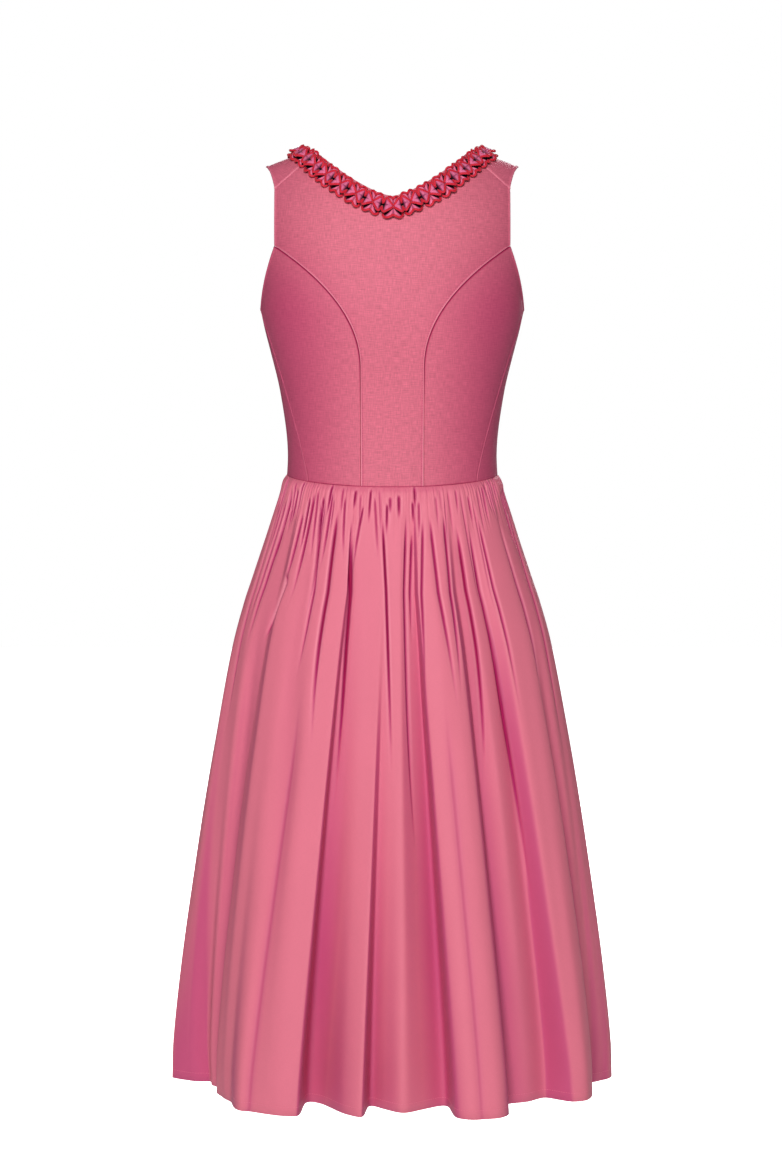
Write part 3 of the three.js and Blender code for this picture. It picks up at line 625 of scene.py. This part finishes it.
def thread_material(name, color):
    n = Nodes(bpy.data.materials.new(name))
    twist = n.noise(2600.0, 900.0, 1.0)
    n.link(n.mix(twist, rgba(color, 0.75), rgba(color, 1.15)), "Base Color")
    n.bump(twist, 0.4, 0.0002)
    n.surface(Roughness=0.6, Sheen_Weight=0.2)
    return n.owner


BODICE = cloth_material("bodice_linen", BODICE_PINK, BODICE_SHADE, DARK_LINE_WINE,
                        pitch=0.8, slub=0.40, mottle=0.08, relief=0.35, gloss=0.3)
COTTON = cloth_material("skirt_cotton", PINK, SKIRT_SHADE_MAGENTA, DARK_LINE_WINE,
                        pitch=0.45, slub=0.05, mottle=0.05, relief=0.2, gloss=0.25)
FRILL = cloth_material("ruche_cotton", FRILL_PINK, FRILL_SHADE, DEEP_SHADE_PLUM,
                       pitch=0.5, slub=0.10, mottle=0.06, relief=0.3, gloss=0.4)
PIPING = thread_material("piping_red", PIPING_RED)
THREAD = thread_material("sewing_thread", THREAD_PINK)


# ---- bodice ----
PULLS, PULL_DEPTH = 9, 0.5
SIDE_SHADE_DEPTH, WAIST_SHADE_DEPTH = 0.52, 0.09  # how strong the painted shade is at the bodice's sides and at its waist


def shallow_pulls(uu, vv, seed):
    """The relief of very shallow pulls in a fitted panel."""
    dice = np.random.RandomState(seed)
    lift = np.zeros(uu.shape)
    for _ in range(PULLS):
        u0, v0 = dice.uniform(0.1, 0.9), dice.uniform(0.05, 0.95)
        tilt = dice.uniform(-0.5, 0.5)
        long, wide = dice.uniform(0.15, 0.35), dice.uniform(0.035, 0.07)
        along = (uu - u0) * math.cos(tilt) + (vv - v0) * math.sin(tilt)
        across = -(uu - u0) * math.sin(tilt) + (vv - v0) * math.cos(tilt)
        lift += dice.uniform(-1, 1) * PULL_DEPTH * np.exp(-(along / long) ** 2 - (across / wide) ** 2)
    return lift


def seam_line(points, normals, gap, distance, keep):
    """The line at a distance from an edge, through the rows that keep allows, with its normals."""
    orders = [(i, np.argsort(gap[i])) for i in np.flatnonzero(keep)]
    return [
        np.array([line_at(distance, gap[i][order], values[i][order]) for i, order in orders])
        for values in (points, normals)
    ]


def arc_position(points):
    """The run along the cloth from the centre back, measured round the chest, with its sign."""
    share = np.clip(np.abs(points[..., 0]) / CHEST_HALF, 0, 1)
    x = np.linspace(0, 1, 400)
    y = -body_depth(True, UNDERARM) * (1 - x ** ROUNDNESS) ** (1 / ROUNDNESS)
    arc = run_along(np.hypot(np.diff(x) * CHEST_HALF, np.diff(y)))
    return np.sign(points[..., 0]) * np.interp(share, x, arc)


def back_map(points):
    """The back panels' map: threads run level and upright."""
    return np.stack([arc_position(points), points[..., 2]], axis=-1)


def side_shade(points):
    """Painted shade towards the sides of the bodice, and a little towards the waist, where the light falls
    off.
    """
    low = smoothstep(-60.0, -190.0, points[..., 2])
    side = smoothstep(lerp(60.0, 15.0, low), lerp(190.0, 140.0, low), np.abs(arc_position(points)))
    return SIDE_SHADE_DEPTH * lerp(0.5, 1.0, low) * side + WAIST_SHADE_DEPTH * low


def panel(node, points, outward, lift, flat, area, uv=None, **shades):
    """A bodice panel: its shaped face, and its thickness inward. Gives the face and its normals."""
    normals = grid_normals(points, outward)
    shaped = points + normals * lift[..., None]
    shades["hollow"] = np.maximum(side_shade(points), shades["hollow"])
    grid = cloth_grid(shaped, outward, uv, **shades)
    obj = cloth_object(node + "_panel", [grid], BODICE)
    solid = obj.modifiers.new("cloth", "SOLIDIFY")
    solid.thickness = SHELL * MM
    solid.offset = -1
    solid.use_even_offset = False
    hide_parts(node)
    return shaped, normals


def mirror(points):
    return points * np.array([-1.0, 1.0, 1.0])


def both_sides(points):
    """A grid for the right of the dress and its mirror image for the left, and whether it is mirrored."""
    return [("right", points, False), ("left", mirror(points), True)]


def waist_seam_shade(gap):
    """Painted shade in a dark line along the waist seam."""
    return bell(gap["low"], 1.1)


def make_back_center():
    """The centre back panel; gives the lines of its two topstitched seams."""
    points, uu, vv, top_x = back_center_grid()
    gap = edge_gaps(points)
    on_seam, on_neck = vv <= BACK_SEAM_SHARE, top_x < NECK_HALF
    lift = np.zeros(uu.shape)
    # painted highlight on the seam ridges, and painted shade in the topstitch grooves
    ridge, groove_shade = np.zeros(uu.shape), np.zeros(uu.shape)
    for edge in ("left", "right"):
        lift += np.where(on_seam, edge_lift("sewn", gap[edge]), edge_lift("turned", gap[edge]))
        ridge += bell(gap[edge] - 1.0, 0.85)
        groove_shade += np.where(on_seam, 0.85 - 0.45 * vv, 0.25) * bell(gap[edge] - STITCH_GAP, 0.55)
    lift += np.where(on_neck, edge_lift("turned", gap["high"]), edge_lift("sewn", gap["high"]))
    ridge += np.where(on_neck, 0.3, 0.9) * bell(gap["high"] - 1.0, 0.8)
    lift += edge_lift("waist", gap["low"]) + shallow_pulls(uu, vv, 3)
    seam = waist_seam_shade(gap)
    face = panel("back_center", points, True, lift, (0.30, 0.40), 0.0605, back_map(points),
                 hollow=np.maximum(groove_shade, seam), crease=0.3 * seam, ridge=ridge)
    stitched = vv[:, 0] <= BACK_SEAM_SHARE - 0.005
    return [seam_line(*face, gap[edge], STITCH_GAP, stitched) for edge in ("left", "right")]


def make_back_sides():
    points, uu, vv = back_side_grid()
    gap = edge_gaps(points)
    lift = edge_lift("pressed", gap["left"]) + edge_lift("pressed", gap["right"])
    lift += edge_lift("turned", gap["high"])
    lift += edge_lift("waist", gap["low"]) + shallow_pulls(uu, vv, 5)
    # painted shade in a dark line beside the princess seam
    inner = bell(gap["left"], 1.3) * smoothstep(0.25, 0.65, vv)
    seam = waist_seam_shade(gap)
    hollow, crease = np.maximum(inner, seam), np.maximum(0.85 * inner, seam * lerp(0.3, 0.8, uu))
    for side, face, mirrored in both_sides(points):
        panel("back_side_" + side, face, not mirrored, lift, (0.16, 0.31), 0.0275, back_map(face),
              hollow=hollow, crease=crease)


def make_fronts():
    points, uu, vv = front_grid()
    gap = edge_gaps(points)
    on_body = vv <= FRONT_BODY_SHARE
    on_neck = vv > lerp(FRONT_BODY_SHARE, 1, NECK_FROM_ROW / STRAP_ROWS)
    lift = np.where(on_neck, edge_lift("turned", gap["left"]), edge_lift("pressed", gap["left"]))
    lift += np.where(on_body, edge_lift("sewn", gap["right"]), edge_lift("turned", gap["right"]))
    lift += edge_lift("pressed", gap["high"]) + edge_lift("waist", gap["low"]) + shallow_pulls(uu, vv, 9)
    seam = waist_seam_shade(gap)
    # painted highlight along the side seam and the armhole edge
    ridge = 0.5 * bell(gap["right"] - 1.3, 0.75)
    for side, face, mirrored in both_sides(points):
        panel("front_" + side, face, mirrored, lift, (0.26, 0.53), 0.0715,
              hollow=seam, crease=0.6 * seam, ridge=ridge)


# ---- skirt ----
SKIRT_ROWS = np.concatenate([
    np.linspace(0, 0.06, 26)[:-1], np.linspace(0.06, 0.30, 34)[:-1], np.linspace(0.30, 1, 52),
])
WAIST_SHARE = 0.62  # how far the columns of the grid follow the waist's run rather than the hem's
FINE_GATHERS = ((1.9, 0.7, 0.040, 11), (3.1, 1.0, 0.085, 23))  # pitch in degrees, height, end, seed
WAVES = ((0.4, 71, 40, 0.3, 0.8), (1.3, 83, 30, 0.12, 0.4))  # height, seed, count, start, full height
GATHER_LENGTHS, GATHER_SHARES = ((0.03, 0.07), (0.07, 0.14), (0.14, 0.28)), (0.5, 0.33, 0.17)
CREASE_ROOM = 0.9  # degrees beside each long crease that the gathers leave free
# width of a crease's painted dark line, and the place and width of the painted highlights on its rims
CREASE_CORE, RIM_PLACE, RIM_WIDTH = 0.9, 2.4, 1.0
LINE_WIDTH = 2.0  # creases wider than this on both sides get fainter painted dark lines and highlights, and read as soft hollows
# strengths of the painted shade in creases and of its darkest part, of the painted rim highlight, and of the
# painted shade on fold flanks
CREASE_SHADE, CREASE_DARK_SHADE, PAINTED_RIM_HIGHLIGHT, FLANK_SHADE = 0.34, 0.145, 0.12, 0.52
# Painted shade in the skirt's hollows: the run of cloth that is averaged, the strength of the shade, and how
# far inside that average the cloth lies where it starts and where it is full.
HOLLOW_SHADES = ((40, 0.72, 0.0, 14.0), (105, 0.62, -3.0, 22.0))


def fold_value(place, name, wrap=0.0):
    """A column of the fold table, smoothly between its rows and round the whole skirt."""
    i = np.floor(place).astype(int)
    a, b, c, d = [FOLDS[name][k % FOLD_COUNT] + wrap * (k // FOLD_COUNT) for k in (i - 1, i, i + 1, i + 2)]
    return hermite(place - i, b, c, (c - a) * 0.32, (d - b) * 0.32)


def skirt_base(place, drop):
    """The skirt's mean surface with its large folds, and the azimuth of each point."""
    top, hem = fold_value(place, "top", 360.0), fold_value(place, "hem", 360.0)
    degrees = lerp(top, hem, drop)
    azimuth = np.radians(degrees)
    half, full = fold_value(place, "half"), fold_value(place, "full")
    reach = 4 * half * drop * (1 - drop) + full * drop * (2 * drop - 1)
    level = lerp(waist_level(azimuth), HEM, drop)
    side_level = lerp(SIDE_WAIST, HEM, drop)
    half_width = along_table(SKIRT, "half_width", side_level)
    depth = along_table(SKIRT, "depth", side_level)
    x, y = oval(azimuth, half_width, depth, lerp(ROUNDNESS, 2.0, np.minimum(drop * 6, 1)))
    ox, oy = np.sin(azimuth) / half_width, -np.cos(azimuth) / depth
    size = np.hypot(ox, oy)
    return np.stack([x + ox / size * reach, y + oy / size * reach, level], axis=-1), degrees, top


def trough(off, left, right):
    """A fold line's section: a sharp narrow valley in a wider dip."""
    reach = np.abs(off) / np.where(off < 0, left, right)
    return 0.74 * np.exp(-reach ** 1.3) + 0.26 * bell(reach, 2.6)


def add_crease(marks, degrees, drop, row):
    """Adds one crease, from its row of the table, to the relief, the painted shade of its dark line and the
    painted highlights on its rims.
    """
    share = np.clip((drop - row["start"]) / (row["end"] - row["start"]), 0, 1)
    bow = row["middle"] - 0.5 * (row["top"] + row["foot"])
    line = lerp(row["top"], row["foot"], share) + 4 * bow * share * (1 - share)
    off = ((degrees - line + 180) % 360 - 180) * lerp(2.2, 4.4, drop)
    off *= lerp(0.35, 1, np.abs(np.cos(np.radians(degrees))))
    deep = row["depth"] * smoothstep(0, 0.14, share) * (1 - smoothstep(0.4, 1.0, share))
    marks["lift"] -= deep * trough(off, row["left"], row["right"])
    narrow = min(row["left"], row["right"])
    faint = min(1.0, LINE_WIDTH / narrow)
    # painted shade along the crease's middle, and painted highlight on its rims
    core_shade = faint * deep * np.exp(-(np.abs(off) / max(CREASE_CORE, 0.4 * narrow)) ** 1.6)
    rim_highlight = faint * deep * bell(np.abs(off) - RIM_PLACE, RIM_WIDTH)
    np.maximum(marks["line_shade"], core_shade, out=marks["line_shade"])
    np.maximum(marks["rim_highlight"], rim_highlight, out=marks["rim_highlight"])


def gather_rows():
    """The gathers: short, unevenly spaced creases drawn towards the long ones, in rows like theirs."""
    dice = np.random.RandomState(5)
    azimuth, rows = -94.0, []
    while azimuth < 264:
        strength = float(along_table(GATHERING, "long", np.array(azimuth)))
        azimuth += dice.uniform(1.5, 2.9) / (0.45 + 0.55 * abs(math.cos(math.radians(azimuth))))
        length = dice.uniform(*GATHER_LENGTHS[dice.choice(3, p=GATHER_SHARES)])
        beside = np.abs(CREASES["top"] - azimuth)
        pull = CREASES["middle"][np.argmin(beside)] - azimuth
        foot = azimuth + 0.3 * length / 0.14 * pull + dice.uniform(-0.5, 0.5)
        start = dice.uniform(-0.004, 0.022)
        left, right = dice.uniform(0.5, 0.9, 2)
        depth = dice.uniform(1.4, 4.0) * strength
        if np.min(beside) >= CREASE_ROOM:
            rows.append((azimuth, 0.5 * (azimuth + foot), foot, start, start + length, depth, left, right))
    return rows


def skirt_marks(top, degrees, drop):
    """The relief of the gathers, creases and waves, the painted shade of their dark lines, and the painted
    highlights on their rims.
    """
    fine = along_table(GATHERING, "fine", (top + 95) % 360 - 95)
    lift = np.zeros(drop.shape)
    for pitch, height, end, seed in FINE_GATHERS:
        jitter = pitch * 0.42 * ripple(top, seed, 190 / pitch)
        wave = np.abs(np.sin(np.pi * (top + jitter) / pitch)) ** 0.6 - 0.72
        fade_end = end * (1 + 0.6 * ripple(top, seed + 2, 100 / pitch))
        lift += height * fine * wave * (1 - smoothstep(0.2 * fade_end, fade_end, drop))
    marks = {"lift": lift, "line_shade": np.zeros(drop.shape), "rim_highlight": np.zeros(drop.shape)}
    for row in list(zip(*CREASES.values())) + gather_rows():
        add_crease(marks, degrees, drop, dict(zip(CREASES, row)))
    lift *= lerp(0.4, 1.0, smoothstep(0, 0.008, drop))
    for height, seed, count, start, full in WAVES:
        lift += height * ripple(degrees, seed, count) * smoothstep(start, full, drop)
    return marks


def hollowness(points, columns):
    """How far each point lies inside the cloth beside it round the skirt, the side at -X counting more, so
    that the painted shade it sets falls as if lit from -X.
    """
    radius = np.hypot(points[..., 0] / 1.55, points[..., 1])
    kernel = np.hanning(2 * columns + 3)[1:-1]
    kernel[columns + 1:] *= 1.7
    kernel /= kernel.sum()
    padded = np.pad(radius, [(0, 0), (columns, columns)], mode="reflect")
    mean = np.array([np.convolve(row, kernel, mode="same") for row in padded])[:, columns:-columns]
    return mean - radius


def soften(points, amount, rounds):
    """Rounds the fold edges: evens each row of points a little, by an amount that varies down the cloth."""
    for _ in range(rounds):
        evened = (points[:, :-2] + 2 * points[:, 1:-1] + points[:, 2:]) / 4
        points[:, 1:-1] = lerp(points[:, 1:-1], evened, amount[:, 1:-1, None])
    return points


def turned_hem(points, normals, above):
    """The rows of cloth inside the hem, from its edge up to the end of the turning."""
    edge, edge_normal = points[-1], normals[-1]
    rows = [edge - edge_normal * 0.5 + np.array([0, 0, -0.4])]
    for height in (0.0, 1.5, 5.0, 9.0, HEM_TURN):
        inner = np.array([line_at(-height, -above, column) for column in points.swapaxes(0, 1)])
        rows.append(inner - edge_normal)
    return np.array(rows)


def skirt_shades(points, normals, drop, marks, hem_length):
    """The painted shade, painted dark lines and painted highlight in the cloth's colour at each point."""
    # fold flanks turned from the front get painted shade, as do the hollows
    out = unit(points * np.array([0.35, 1.0, 0.0]))
    flank = 1 - np.abs(np.sum(normals * out, axis=-1))
    hollow = np.maximum.reduce([
        depth * smoothstep(start, full, hollowness(points, int(run * points.shape[1] / hem_length)))
        for run, depth, start, full in HOLLOW_SHADES
    ])
    hollow *= smoothstep(0.0, 0.12, drop) * lerp(1.0, 0.65, smoothstep(0.7, 1.0, drop))
    hollow = np.maximum(hollow, FLANK_SHADE * smoothstep(0.03, 0.45, flank))
    line_shade = marks["line_shade"]
    return {
        "hollow": np.maximum(hollow, CREASE_SHADE * line_shade), "crease": CREASE_DARK_SHADE * (line_shade - 0.5),
        "ridge": PAINTED_RIM_HIGHLIGHT * marks["rim_highlight"],
    }


def make_skirt_piece(node, first, last, columns):
    """A gathered width between two rows of the fold table; gives the line of its hem stitching."""
    fine = np.linspace(first, last, 6000)
    waist_run, hem_run = [
        run_lengths(skirt_base(fine, np.full_like(fine, end))[0][None], 1)[0] for end in (0, 1)
    ]
    measure = WAIST_SHARE * waist_run / waist_run[-1] + (1 - WAIST_SHARE) * hem_run / hem_run[-1]
    place = np.interp(np.linspace(0, 1, columns), measure, fine)
    pp, drop = np.meshgrid(place, SKIRT_ROWS)
    points, degrees, top = skirt_base(pp, drop)
    points = soften(points, smoothstep(0.15, 0.9, drop), 14)
    marks = skirt_marks(top, degrees, drop)
    points = points + grid_normals(points, False) * marks["lift"][..., None]
    normals = grid_normals(points, False)

    above = (1 - SKIRT_ROWS) * (SIDE_WAIST - HEM)
    points = points - normals * (0.55 * bell(above - HEM_STITCH, 1.6))[:, None, None]
    tuck = points[:1] - normals[:1] * TUCK_IN + np.array([0, 0, TUCK_UP])
    turned = turned_hem(points, normals, above)
    grid = np.concatenate([tuck, points, turned], axis=0)
    shades = {
        name: np.concatenate([shade[:1], shade, np.tile(shade[-1], (len(turned), 1))], axis=0)
        for name, shade in skirt_shades(points, normals, drop, marks, hem_run[-1]).items()
    }
    down = np.concatenate([-above[:1] - 2, -above, np.full(len(turned), HEM_TURN)])
    uv = np.stack(np.meshgrid(np.interp(place, fine, hem_run), down), axis=-1)
    obj = cloth_object(node + "_cloth", [cloth_grid(grid, False, uv, **shades)], COTTON)
    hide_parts(node)
    row = int(np.argmin(np.abs(above - HEM_STITCH)))
    return points[row], normals[row]


# ---- neck ruche ----
def settle(point):
    """Moves points to the body's surface above the underarm; gives them with the outward normals."""
    def miss(p):
        depth = np.where(p[..., 1] < 0, BODY["back"][-1], BODY["front"][-1])
        reach = depth * round_off(p[..., 0], CHEST_HALF)
        rise = (p[..., 2] - UNDERARM) / (shoulder_level(p[..., 0]) - UNDERARM)
        return np.hypot(p[..., 1] / reach, rise) - 1

    p = point.copy()
    step = 0.01
    for _ in range(3):
        here = miss(p)
        slope = np.stack([miss(p + step * axis) - here for axis in np.eye(3)], axis=-1) / step
        p = p - slope * (here / np.sum(slope ** 2, axis=-1))[..., None]
    return p, unit(slope)


def neck_half_path(count):
    """The neck edge on the +X side, from the centre back over the shoulder to the centre front."""
    share = np.linspace(0, 1, count)
    x = NECK_HALF * np.minimum(share / NECK_BACK_SHARE, 1)
    behind = shoulder(x, back_turn(x, back_neck_level(x)))
    along_strap = np.clip((share - NECK_BACK_SHARE) / (1 - NECK_BACK_SHARE), 0, 1)
    row = lerp(STRAP_ROWS - 0.2, NECK_FROM_ROW, along_strap)
    corner = math.degrees(float(back_turn(np.array(NECK_HALF), np.array(NECK_CORNER_LEVEL))))
    neck_x = np.append(STRAP["neck_x"], NECK_HALF)
    neck_turn = np.append(STRAP["neck_turn"], corner)
    rows = np.arange(STRAP_ROWS + 1)
    over = shoulder(np.interp(row, rows, neck_x), np.radians(np.interp(row, rows, neck_turn)))
    return np.where((share < NECK_BACK_SHARE)[:, None], behind, over)


def smooth_path(path, rounds):
    for _ in range(rounds):
        path[1:-1] = (path[:-2] + 2 * path[1:-1] + path[2:]) / 4
    return path


def ruche_middle():
    """The ruche's middle line round the whole neck, its run, and on which side of the edge it lies."""
    half = neck_half_path(900)
    edge, normal = settle(smooth_path(np.concatenate([half[::-1], mirror(half)[1:]]), 30))
    away = unit(np.cross(np.gradient(edge, axis=0), normal))
    down = -1.0 if away[len(away) // 2, 2] > 0 else 1.0
    middle = smooth_path(settle(edge + down * away * (RUCHE_INSET + RUCHE_WIDTH / 2))[0], 60)
    return middle, run_lengths(middle[None], 1)[0], down


class Ruche:
    """Places points on the ruche: by unit, distance along it and from its middle line, and height."""

    def __init__(self):
        self.path, self.run, self.down = ruche_middle()
        self.units = 2 * int(self.run[-1] / RUCHE_PITCH / 2) + 1
        self.away = self.down * unit(np.cross(np.gradient(self.path, axis=0), settle(self.path)[1]))
        self.uneven = np.random.RandomState(12).uniform(-1, 1, (self.units, 5))

    def place(self, unit, along, reach, height):
        share = np.clip(along / RUCHE_PITCH, -0.5, 0.5)
        swell = np.cos(math.pi * share) ** 0.5
        wide, narrow, tall, drift, lean = self.uneven[unit]
        share = share + (0.05 * drift + 0.12 * lean * reach / RUCHE_WIDTH) * swell
        run = (unit + 0.5 + share) / self.units * self.run[-1]
        reach = reach * (1 + 0.10 * swell * np.where(reach < 0, wide, narrow))
        middle, away = line_at(run, self.run, self.path), line_at(run, self.run, self.away)
        spot, up = settle(middle + away * reach[..., None])
        return spot + up * (1.12 * height * (1 + 0.18 * tall * swell))[..., None]


def edge_at(tab, step):
    """A lip's or fan edge's along, reach and height at a step of its table."""
    return [along_table(tab, name, step) for name in ("along", "reach", "height")]


def cheek_grid(ruche, unit, side):
    """The pouch of cloth between the two lips on one side of a pinch."""
    step, across = np.meshgrid(np.linspace(0, 5, 16), np.linspace(-1, 1, 13), indexing="ij")
    along, reach, height = edge_at(LIP, step)
    puff = (1 - across ** 2) * lerp(0.8, -3.8, smoothstep(2.2, 5.0, step))
    puff = puff - 0.9 * bell(across, 0.16) * smoothstep(1.0, 3.5, step)
    points = ruche.place(unit, side * along, across * reach, height + puff)
    # painted shade over the whole pouch, deeper towards the mouth, along the middle crease and at the pinch
    mouth_shade = smoothstep(2.4, 4.3, step) * (1 - 0.35 * np.abs(across))
    line = bell(across, 0.14) * smoothstep(0.8, 2.5, step)
    hollow = np.maximum(np.maximum(0.14 + 0.3 * np.abs(across), mouth_shade), 0.7 * line)
    crease = np.maximum(mouth_shade, 0.35 * line) + 0.5 * (step < 0.4)
    return cloth_grid(points, side < 0, hollow=hollow, crease=crease)


def fan_grid(ruche, unit, side):
    """The fan of cloth that shows under the lips, above or below a pinch."""
    out, across = np.meshgrid(np.linspace(0, 1, 8), np.linspace(-1, 1, 21), indexing="ij")
    along, reach, height = edge_at(FAN, 5 * np.abs(across))
    along = lerp(0.2, along, out) * np.sign(across)
    dent = 1.3 * bell(across, 0.12) * out
    puff = 1.1 * np.sin(math.pi * out) * bell(np.abs(across) - 0.42, 0.22)
    points = ruche.place(unit, along, side * lerp(0.6, reach, out), lerp(2.2, height, out) - dent + puff)
    # painted shade under the lips and along the fan's middle crease
    under = smoothstep(0.55, 0.82, np.abs(across))
    line = 0.55 * bell(across, 0.09)
    return cloth_grid(points, side > 0, hollow=np.maximum(under, line), crease=np.maximum(under, 0.6 * line))


def piping_path(tab, flip):
    """A lip's or fan edge's points through one unit, from one end to the other."""
    along, reach, height = edge_at(tab, np.linspace(0, 5, 13))
    along = np.concatenate([-along[::-1], along])
    return along, flip * np.concatenate([reach[::-1], reach]), np.concatenate([height[::-1], height]) + 0.2


def ruche_band(ruche):
    """The band of cloth under the ruche's pinches, coloured all over with painted shade."""
    across = np.array([-1, -0.9, -0.5, 0, 0.5, 0.9, 1.0])
    height = np.array([0.1, 0.7, 0.8, 0.8, 0.8, 0.7, 0.1])
    band, up = settle(ruche.path[::8, None, :] + ruche.away[::8, None, :] * (RUCHE_BAND * across)[:, None])
    return cloth_grid(band + up * height[:, None], ruche.down < 0, hollow=1.0, crease=0.8)


def make_ruche():
    ruche = Ruche()
    cloth, fans = [], []
    lips = {-1: [], 1: []}
    for unit in range(ruche.units):
        for side in (-1, 1):
            cloth += [cheek_grid(ruche, unit, side), fan_grid(ruche, unit, side)]
            lips[side].append(ruche.place(unit, *piping_path(LIP, side)))
            fans.append(tube_grid(ruche.place(unit, *piping_path(FAN, side)), PIPING_RADIUS, 8))
    piece = cloth_object("neck_ruche_cloth", cloth, FRILL)
    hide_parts("neck_ruche")

    cords = [
        cloth_object("neck_ruche_band", [ruche_band(ruche)], FRILL),
        cloth_object("neck_ruche_fan_piping", fans, PIPING),
    ]
    for side, label in ((-1, "upper"), (1, "lower")):
        lip = tube_grid(np.concatenate(lips[side]), PIPING_RADIUS, 8)
        cords.append(cloth_object("neck_ruche_piping_" + label, [lip], PIPING))


# ---- studio, in metres ----
CAMERA_PLACE, CAMERA_AIM, CAMERA_LENS = (-0.0015, -3.30, -0.201), (-0.0015, 0.0, -0.506), 85.33
FLOOR_LEVEL, FLOOR_SIZE = -1.38, 14
AMBIENT, WHITE = (0.14, 0.14, 0.14, 1), (1, 1, 1, 1)
LIGHTS = (  # place, aim, size, power
    ("key", (-0.45, -4.4, 1.5), (0, 0, -0.55), (1.4, 1.2), 190),
    ("back", (0.6, 3.4, 0.9), (0, 0, -0.5), (2.4, 2.4), 120),
)


def stand(name, data, place, aim):
    """Puts a camera or a light in its place, turned to its aim."""
    obj = bpy.data.objects.new(name, data)
    obj.location = place
    obj.rotation_euler = (Vector(aim) - Vector(place)).to_track_quat("-Z", "Y").to_euler()
    bpy.context.collection.objects.link(obj)
    return obj


def make_camera():
    """The main view: from behind the dress, at chest height, tilted a little down."""
    data = bpy.data.cameras.new("camera")
    data.lens = CAMERA_LENS
    data.sensor_width = 36.0
    data.clip_end = 60.0
    bpy.context.scene.camera = stand("camera", data, CAMERA_PLACE, CAMERA_AIM)


def make_lights():
    for name, place, aim, size, power in LIGHTS:
        data = bpy.data.lights.new(name, "AREA")
        data.shape = "RECTANGLE"
        data.size, data.size_y = size
        data.energy = power
        stand(name, data, place, aim)


def make_backdrop():
    """White to the camera, and a dim grey light on the dress from all round."""
    scene = bpy.context.scene
    scene.view_settings.view_transform = "Standard"
    scene.view_settings.gamma = 0.9
    scene.world = bpy.data.worlds.new("studio")
    sky = Nodes(scene.world, "Background")
    sky.link(sky.mix(sky.seen_by_camera(), AMBIENT, WHITE), "Color")


def make_floor():
    bpy.ops.mesh.primitive_plane_add(size=FLOOR_SIZE, location=(0, 0, FLOOR_LEVEL))
    floor = bpy.context.object
    floor.name = "floor"
    paper = Nodes(bpy.data.materials.new("pale_floor"))
    grain = paper.noise(40.0, 40.0, 2.0)
    paper.link(paper.mix(grain, rgba(WHITE, 0.86), rgba(WHITE, 0.90)), "Base Color")
    paper.surface(Roughness=0.9, Emission_Color=WHITE)
    paper.link(paper.math("MULTIPLY", paper.seen_by_camera(), 1.2), "Emission Strength")
    floor.data.uv_layers[0].name = "cloth"
    floor.data.materials.append(paper.owner)


make_camera()
make_backdrop()
make_floor()
make_lights()
topstitching = make_back_center()
make_back_sides()
make_fronts()
hem_stitching = [
    make_skirt_piece("skirt_back", 0, RIGHT_SIDE_FOLD, 840),
    make_skirt_piece("skirt_front_right", RIGHT_SIDE_FOLD, FRONT_FOLD, 330),
    make_skirt_piece("skirt_front_left", FRONT_FOLD, FOLD_COUNT, 330),
]
make_ruche()
stitches("topstitching", topstitching, 2.9, 2.2, THREAD)
stitches("hem_stitching", hem_stitching, 3.2, 2.5, THREAD)
